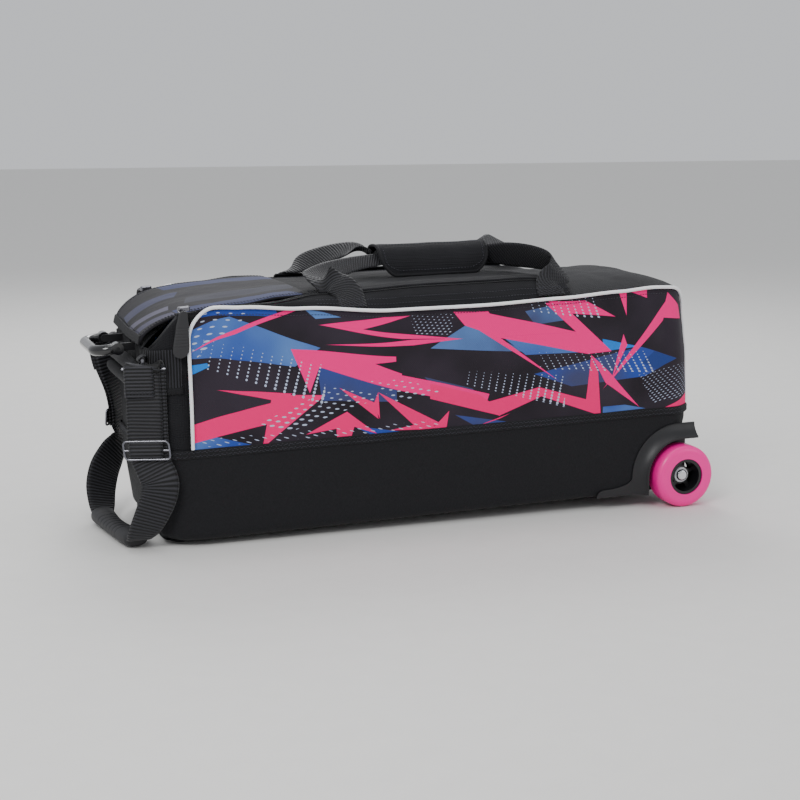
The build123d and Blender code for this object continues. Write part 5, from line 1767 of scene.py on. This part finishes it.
        pad = self.shop.maker.tube("grip_pad", sections, BAG_CLOTH, core, 40)
        swell(pad, 4.0, 4.0, 3.0)
        self.shop.fit(pad, "carry_grip", "grip_cloth", "grip_wrap", "grip_core")
        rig.padded(pad, fill=0.7)

        def flap(x: float, t: float, out: float = 0.0) -> Point:
            """A point on the flap that lies over the pad and hangs past its front."""
            soft = out + 1.2 * rumple(Vector((x, t * 50, 0)), 28.0, 5.0)
            place = t * (len(profile) - 1)
            i = min(int(place), len(profile) - 2)
            a, b = Vector(profile[i]), Vector(profile[i + 1])
            run = (b - a).normalized()
            spot = a.lerp(b, place - i) + Vector((run.y, -run.x)) * soft
            return x, spot.x, self.grip_z + spot.y

        profile = spline(self.flap_profile, 6)
        middle = (self.grip_low_x + self.grip_high_x) / 2
        half = (self.grip_high_x - self.grip_low_x) / 2 + 3

        def reach(t: float) -> float:
            """How far the flap runs to each end at a place round it, with rounded corners."""
            return half - 4.0 * t - 18.0 * max((t - 0.62) / 0.38, 0.0) ** 2.4

        cloth = self.shop.maker.patch(
            "grip_flap", span(-1.0, 1.0, 0.03), span(0.0, 1.0, 0.025),
            lambda k, t: flap(middle + k * reach(t), t), BAG_CLOTH, 2.6,
            away=(middle, 0, self.grip_z), cloth=lambda k, t: (k * 80.0, t * 80.0))
        self.shop.fit(cloth, "carry_grip", "grip_cloth")
        edge = [(k, t) for k, t in [(-1.0, t) for t in span(0.0, 1.0, 0.04)]
                + [(k, 1.0) for k in span(-1.0, 1.0, 0.05)[1:]]
                + [(1.0, t) for t in span(1.0, 0.0, 0.04)[1:]]]
        binding = self.shop.lines.wire(
            "grip_binding", [[flap(middle + k * reach(t), t, -1.0) for k, t in edge]], 2.1,
            TAPE_CLOTH, 12)
        self.shop.fit(binding, "carry_grip", "grip_cloth")
        inner = [flap(middle + k * (reach(t) - 7), 0.42 + 0.49 * t, 0.6) for k, t in edge]
        inner += [flap(middle - k * (half - 12), 0.42, 0.6) for k in span(-1.0, 1.0, 0.05)]
        stitches = self.shop.lines.along("grip_stitches", [inner], 4.6, (0.5, 0.5, 1.7), THREAD)
        self.shop.fit(stitches, "carry_grip", "grip_cloth")


# ------------------------------------------------------------------------------------------
# Pull end: tow strap, rolls, pulls
# ------------------------------------------------------------------------------------------
@dataclass(frozen=True)
class PullEnd:
    """The tow strap with its grip, the folded rolls, the ring tabs and the zip pulls."""

    shop: Shop
    strap_x: float = -397.0
    strap_y: float = -127.0
    turn: float = math.radians(20.0)
    back_turn: float = math.radians(56.0)
    pull_x: float = -346.0
    pull_top: float = 306.0
    pull_length: float = 60.0
    hinge_z: float = 243.0
    bar_z: float = 233.0
    glide_z: float = 128.0
    grip_start: tuple[float, float] = (-412.0, -107.0)
    grip_end: tuple[float, float] = (-434.0, 44.0)
    grip_z: float = 5.6
    rib_pitch: float = 4.6
    rib_height: float = 0.75
    roll_radius: float = 11.0
    roll_half: float = 94.0
    roll_z: tuple[float, float] = (230.5, 208.5)

    def build(self) -> None:
        """Makes the strap, its sewn parts, the ring tabs, the zip pulls, the tow grip and the rolls."""
        for side, name in ((1.0, "front"), (-1.0, "back")):
            self._upper_strap(name, side)
            self._ring_tab(name, side)
            self._puller(name, side)
        self._lower_straps()
        self._grip()
        self._rolls()

    def _face(self, z: float, side: float, across: float, out: float, wide: float) -> tuple[float, ...]:
        """A webbing key on a strap's face; the back strap twists as it falls from its ring."""
        turn = self.turn if side > 0 else through(((150.0, -self.back_turn), (self.bar_z, -self.turn)), z)
        ax, ay = math.cos(turn), -math.sin(turn)
        nx, ny = -math.sin(turn), -math.cos(turn)
        if side < 0:
            nx, ny = math.sin(turn), math.cos(turn)
        lean = 0.0 if side > 0 else through(((self.glide_z, 6.0), (self.bar_z, -5.0)), z)
        x = self.strap_x + lean + ax * across + nx * out
        y = -side * abs(self.strap_y) + ay * across + ny * out
        return x, y, z, ax, ay, 0.0, wide

    def _upper_strap(self, name: str, side: float) -> None:
        """The doubled webbing hung over its ring, with the sewn end on its face."""
        top = self.bar_z + 4.4
        keys = [self._face(self.glide_z - 12, side, -1.5, 1.9, 46)]
        keys += [self._face(z, side, -1.5 + 0.5 * math.sin(z / 13), 2.1, 46)
                 for z in span(self.glide_z, self.bar_z - 4, 22.0)]
        keys += [self._face(self.bar_z + 1.5, side, -1, 3.0, 46), self._face(top, side, 0, 0.8, 47),
                 self._face(self.bar_z + 1.5, side, 1, -2.2, 48)]
        keys += [self._face(z, side, 2.5, -2.2, 50) for z in span(self.bar_z - 5, self.glide_z - 12, 25.0)]
        strap = self.shop.maker.ribbon(
            f"{name}_tow_webbing", keys, RIBBED, 2.2, self.rib_pitch, self.rib_height, samples=12)
        self.shop.fit(strap, "tow_loop", "webbing", f"tow_strap_{name}")
        end = [self._face(z, side, -6.0, out, 38) for z, out in (
            (self.bar_z + 4.0, 4.6), (self.bar_z - 6, 5.6), (self.bar_z - 20, 5.2), (self.bar_z - 36, 5.0))]
        flap = self.shop.maker.ribbon(f"{name}_tow_sewn_end", end, RIBBED, 2.4, self.rib_pitch,
                                      self.rib_height, samples=12)
        self.shop.fit(flap, "tow_loop", "webbing")
        rows = []
        for z in (self.bar_z - 32, self.bar_z - 28, self.bar_z - 8):
            rows.append([self._face(z, side, a, 7.0, 1)[:3] for a in span(-23.0, 11.0, 3.0)])
        stitches = self.shop.lines.along(f"{name}_tow_stitches", rows, 3.8, (0.5, 0.5, 1.4), THREAD)
        self.shop.fit(stitches, "tow_loop", "webbing")
        turn = [self._face(z, side, -1.0, out, 44) for z, out in (
            (self.glide_z + 10, 3.4), (self.glide_z + 5, 7.4), (self.glide_z - 1, 8.0),
            (self.glide_z - 7, 6.4), (self.glide_z - 11, 3.0))]
        loop = self.shop.maker.ribbon(f"{name}_glide_loop", turn, RIBBED, 2.4, self.rib_pitch, 0.6,
                                      samples=12)
        self.shop.fit(loop, "tow_loop", "webbing")
        self._glide(name, side)

    def _glide(self, name: str, side: float) -> None:
        """A bent-wire slider: a rounded frame with a bar across it."""
        half, tall, corner = 29.0, 11.5, 5.0

        def at(a: float, z: float) -> Point:
            """A point of the wire, which leans out at its foot."""
            return self._face(self.glide_z + z, side, a - 0.12 * z, 4.6 - 0.16 * z, 1)[:3]

        frame = []
        for cx, cz, start in ((half - corner, tall - corner, 0.0), (corner - half, tall - corner, 0.5),
                              (corner - half, corner - tall, 1.0), (half - corner, corner - tall, 1.5)):
            frame += [at(cx + corner * math.cos(math.pi * (start + 0.5 * k)),
                         cz + corner * math.sin(math.pi * (start + 0.5 * k))) for k in span(0.0, 1.0, 0.2)]
        frame.append(frame[0])
        bar = [at(a, 0.0) for a in span(-half, half, 8.0)]
        wire = self.shop.lines.wire(f"{name}_glide_wire", [frame, bar], 1.5, DARK_METAL, 12)
        self.shop.fit(wire, "tow_loop", "wire_steel", *(("tri_glides",) if side > 0 else ()))

    def _ring_tab(self, name: str, side: float) -> None:
        """The short webbing loop that holds a ring to the end wall."""
        keys = [(-390.5, -112 * side, self.hinge_z + 5.2, 0, 1, 0, 16),
                (-396.0, -112 * side, self.hinge_z + 4.6, 0, 1, 0, 16),
                (-401.2, -112 * side, self.hinge_z, 0, 1, 0, 16),
                (-396.0, -112 * side, self.hinge_z - 4.6, 0, 1, 0, 16),
                (-390.5, -112 * side, self.hinge_z - 5.2, 0, 1, 0, 16)]
        tab = self.shop.maker.ribbon(f"{name}_ring_tab", keys, STRAP, 1.8, samples=10, step=1.0)
        self.shop.fit(tab, "root", "webbing", *(("ring_tabs",) if side > 0 else ()))

    def _lower_straps(self) -> None:
        """The two single legs that twist down into the grip."""
        low = self.grip_z
        front = (self._face(self.glide_z - 6, 1.0, 0.0, 0.0, 48),
                 (-391, -133, 106, 0.9, -0.25, 0.25, 48), (-385, -140, 88, 0.97, -0.15, 0.0, 48),
                 (-387, -142, 70, 0.95, 0.0, -0.28, 48), (-396, -138, 46, 0.9, 0.05, -0.4, 46),
                 (-405, -129, 24, 0.93, 0.1, -0.3, 42), (-410, -118, 10, 0.97, 0.2, -0.15, 36),
                 (-412, -107, low, 1, 0.2, 0, 30))
        back = (self._face(self.glide_z - 6, -1.0, 0.0, 0.0, 48),
                (-388, 130, 103, 0.45, 0.85, 0.1, 46), (-392, 125, 88, 0.6, 0.6, -0.3, 46),
                (-405, 115, 72, 0.7, 0.25, -0.65, 46), (-419, 98, 54, 0.85, 0.1, -0.5, 46),
                (-427, 82, 34, 0.93, 0.1, -0.3, 44), (-430, 64, 16, 0.97, 0.15, -0.1, 38),
                (-432, 46, low, 1, 0.1, 0, 30))
        for name, keys in (("front_leg_webbing", front), ("back_leg_webbing", back)):
            leg = self.shop.maker.ribbon(name, keys, RIBBED, 2.4, self.rib_pitch, 0.6)
            self.shop.fit(leg, "tow_loop", "webbing")

    def _grip(self) -> None:
        """The moulded rubber grip: flared ends and a ribbed, waisted middle."""
        a, b = Vector((*self.grip_start, self.grip_z)), Vector((*self.grip_end, self.grip_z))
        run = (b - a).normalized()
        across = Vector((run.y, -run.x, 0))
        stations = span(0.0, 1.0, 0.008)
        length = (b - a).length
        sections = []
        for t in stations:
            bow = -5.0 * math.sin(math.pi * t)
            sections.append((a.lerp(b, t) + across * bow, across, Vector((0, 0, 1))))

        def shape(angle: float, i: int) -> tuple[float, float]:
            """A soft oval, waisted, with grooves between ribs over the middle."""
            t = stations[i]
            end = math.sqrt(max(1 - abs(2 * t - 1) ** 30, 0.0))
            waist = 1 - 0.16 * math.sin(math.pi * t) ** 2
            middle = through(((0.2, 0.0), (0.26, 1.0), (0.74, 1.0), (0.8, 0.0)), t)
            groove = middle * max(math.cos(math.tau * t * length / 12.0), 0.0) ** 4
            top = 0.5 + 0.5 * math.cos(angle - math.pi * 0.25)
            scale = (0.55 + 0.45 * end) * waist - 0.17 * groove * top
            ca, sa = math.cos(angle), math.sin(angle)
            return (16.6 * scale * math.copysign(abs(ca) ** 0.85, ca),
                    10.9 * scale * math.copysign(abs(sa) ** 0.85, sa))

        grip = self.shop.maker.tube("tow_grip_rubber", sections, GRIP_RUBBER, shape, 40)
        self.shop.fit(grip, "tow_loop", "grip_rubber", "tow_grip")

    def _rolls(self) -> None:
        """Two stuffed folds across the end, under the grab handle."""
        for number, z in enumerate(self.roll_z):
            stations = span(-self.roll_half, self.roll_half, 6.0)
            sections = [(Vector((-392.0 - self.roll_radius, y, z + 0.9 * rumple(
                Vector((y, 0, z)), 40.0, 3.0))), Vector((1, 0, 0)), Vector((0, 0, 1))) for y in stations]
            last = len(sections) - 1

            def shape(angle: float, i: int) -> tuple[float, float]:
                """A round section that pinches to its sewn ends."""
                end = 0.35 + 0.65 * math.sqrt(max(1 - abs(2 * i / last - 1) ** 6, 0.0))
                return 9.6 * end * math.cos(angle), 8.9 * end * math.sin(angle)

            roll = self.shop.maker.tube(f"end_roll_{number + 1}", sections, BAG_CLOTH, shape, 28)
            swell(roll, 4.0, 4.0, 2.4)
            self.shop.fit(roll, "root", "body_cloth", *(("end_rolls",) if number == 0 else ()))
            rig.padded(roll, fill=0.7)

    def _puller(self, name: str, side: float) -> None:
        """A plain ribbed tab that hangs from a bent wire on the slider."""
        x, top_z, outer = self.pull_x, self.pull_top, side * -142.6
        stations = span(0.0, 1.0, 0.012)
        sections = [(Vector((x - 6.0 * t, outer, top_z - t * self.pull_length)), Vector((1, 0, 0)),
                     Vector((0, 1, 0))) for t in stations]

        def shape(angle: float, i: int) -> tuple[float, float]:
            """A flat tab, narrow at the wire and wider at its rounded foot."""
            t = stations[i]
            wide = through(((0.0, 5.6), (0.12, 6.2), (0.35, 8.4), (0.8, 10.6), (1.0, 10.0)), t)
            tip = math.sqrt(max(1 - max((t - 0.84) / 0.16, 0.0) ** 2.4, 0.02))
            head = math.sqrt(max(1 - max((0.08 - t) / 0.08, 0.0) ** 2.2, 0.02))
            groove = 0.8 * max(math.cos(math.tau * (t - 0.36) * 15), 0.0) ** 3 * (0.36 < t < 0.8)
            edge = min(1.0, 4.0 * (1 - abs(math.cos(angle))))
            ca, sa = math.cos(angle), math.sin(angle)
            return (wide * tip * head * math.copysign(abs(ca) ** 0.6, ca),
                    (2.1 - groove * edge) * math.copysign(abs(sa) ** 0.6, sa))

        tab = self.shop.maker.tube(f"{name}_pull_tab", sections, GRIP_RUBBER, shape, 32)
        self.shop.fit(tab, f"{name}_pull", "puller_rubber", f"{name}_puller")
        loop = []
        for a in span(0.0, math.tau, 0.3):
            loop.append((x + 4.2 * math.cos(a), side * (-133.6 - 9.2 * math.sin(a)),
                         top_z - 2.0 - 2.5 * math.sin(a)))
        loop.append(loop[0])
        wire = self.shop.lines.wire(f"{name}_pull_wire", [loop], 1.0, DARK_METAL, 10)
        self.shop.fit(wire, f"{name}_pull", "puller_rubber")


# ------------------------------------------------------------------------------------------
# Hard parts that keep their shape, and the wheel end
# ------------------------------------------------------------------------------------------
@dataclass(frozen=True)
class Hardware:
    """The carried-over hard parts, each in its finish, and the wheel end's webbing."""

    shop: Shop
    webbing_y: float = -71.0
    webbing_z: float = 229.0

    def build(self) -> None:
        """Dresses the hard parts and makes the side webbing."""
        dress = self.shop.dress
        for side in ("front", "back"):
            dress(URETHANE, f"{side}_tyre")
            dress(NYLON, f"{side}_hub")
            dress(ZINC, f"{side}_bearings", f"{side}_axle_collars")
            dress(CHROME, f"{side}_axle_bolt")
            dress(HOUSING, f"{side}_wheel_housing")
            dress(DARK_METAL, f"{side}_slider")
        dress(ZINC, "axle_nuts", "housing_screws")
        dress(ACETAL, "side_buckle", "end_handle_tabs")
        dress(TUBE, "end_handle")
        dress(DARK_METAL, "tow_rings")
        dress(GRIP_RUBBER, "rest_feet")
        keys = [(393.4, self.webbing_y, self.webbing_z + z, 0, 1, 0, 25) for z in (24, 16, 8, 0)]
        strap = self.shop.maker.ribbon("side_strap", keys, STRAP, 1.8, 2.6, 0.3, samples=8)
        self.shop.fit(strap, "root", "webbing", "side_webbing")


# ------------------------------------------------------------------------------------------
# Floor, light and camera
# ------------------------------------------------------------------------------------------
@dataclass(frozen=True)
class Studio:
    """A large pale floor, soft light, and the camera."""

    place: Point = (-0.7376, -2.0751, 0.5605)
    yaw: float = math.radians(19.94)
    pitch: float = math.radians(10.46)
    lens: float = 70.16
    floor: str = "#dcdbd8"

    def build(self) -> None:
        """Sets the stage."""
        self._floor()
        self._lights()
        camera = bpy.data.objects.new("Camera", bpy.data.cameras.new("Camera"))
        camera.location = self.place
        camera.rotation_euler = (math.pi / 2 - self.pitch, 0.0, -self.yaw)
        camera.data.lens = self.lens
        camera.data.clip_start, camera.data.clip_end = 0.05, 60.0
        bpy.context.collection.objects.link(camera)
        bpy.context.scene.camera = camera

    def _floor(self) -> None:
        """A large pale floor."""
        mesh = bpy.data.meshes.new("Floor")
        reach = 14.0
        mesh.from_pydata([(-reach, -reach, 0), (reach, -reach, 0), (reach, reach, 0), (-reach, reach, 0)],
                         [], [(0, 1, 2, 3)])
        made = bpy.data.objects.new("Floor", mesh)
        bpy.context.collection.objects.link(made)
        paint = Moulded("Pale_floor", self.floor, 0.7, light="#e2e1de", grain_mm=3.0, depth_mm=0.05)
        mesh.materials.append(paint.material())
        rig.stage(made)

    def _lights(self) -> None:
        """A big soft key, a fill, a rim light and a pale sky."""
        world = bpy.data.worlds.new("Studio")
        world.use_nodes = True
        sky = world.node_tree.nodes["Background"]
        sky.inputs["Color"].default_value = linear("#e8eaee")
        sky.inputs["Strength"].default_value = 0.85
        bpy.context.scene.world = world
        for name, place, size, power in (
            ("Key", (-1.6, -1.7, 2.0), 1.1, 36.0),
            ("Fill", (1.9, -2.0, 1.2), 1.6, 9.0),
            ("Rim", (0.4, 1.9, 1.9), 1.4, 30.0),
            ("Top", (0.0, 0.0, 2.4), 1.6, 14.0),
        ):
            data = bpy.data.lights.new(name, "AREA")
            data.shape, data.size, data.energy = "DISK", size, power
            light = bpy.data.objects.new(name, data)
            light.location = place
            aim = Vector((0.0, 0.0, 0.15)) - Vector(place)
            light.rotation_euler = aim.to_track_quat("-Z", "Y").to_euler()
            bpy.context.collection.objects.link(light)


def main() -> None:
    """Builds the bag over its frame."""
    logging.basicConfig(level=logging.INFO, format="%(name)s: %(message)s")
    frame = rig.load()
    packed_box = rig.bounds()
    low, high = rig.box("front_axle_bolt")
    axle = (low + high) / 2
    maker = Maker(BagFrame(Vector((axle.x, 0.0, axle.z))))
    shop = Shop(maker, LineWork(maker), Outline(), frame["nodes"])
    walls = Walls(shop)
    for part in (walls, Base(shop, walls), Top(shop, walls), CarryHandles(shop), PullEnd(shop),
                 Hardware(shop)):
        part.build()
    Studio().build()
    sizes = {"cad": [list(c) for c in packed_box], "visual": [list(c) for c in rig.bounds()]}
    with open(SIZE_FILE, "w") as kept:
        json.dump(sizes, kept)


if __name__ == "__main__":
    main()
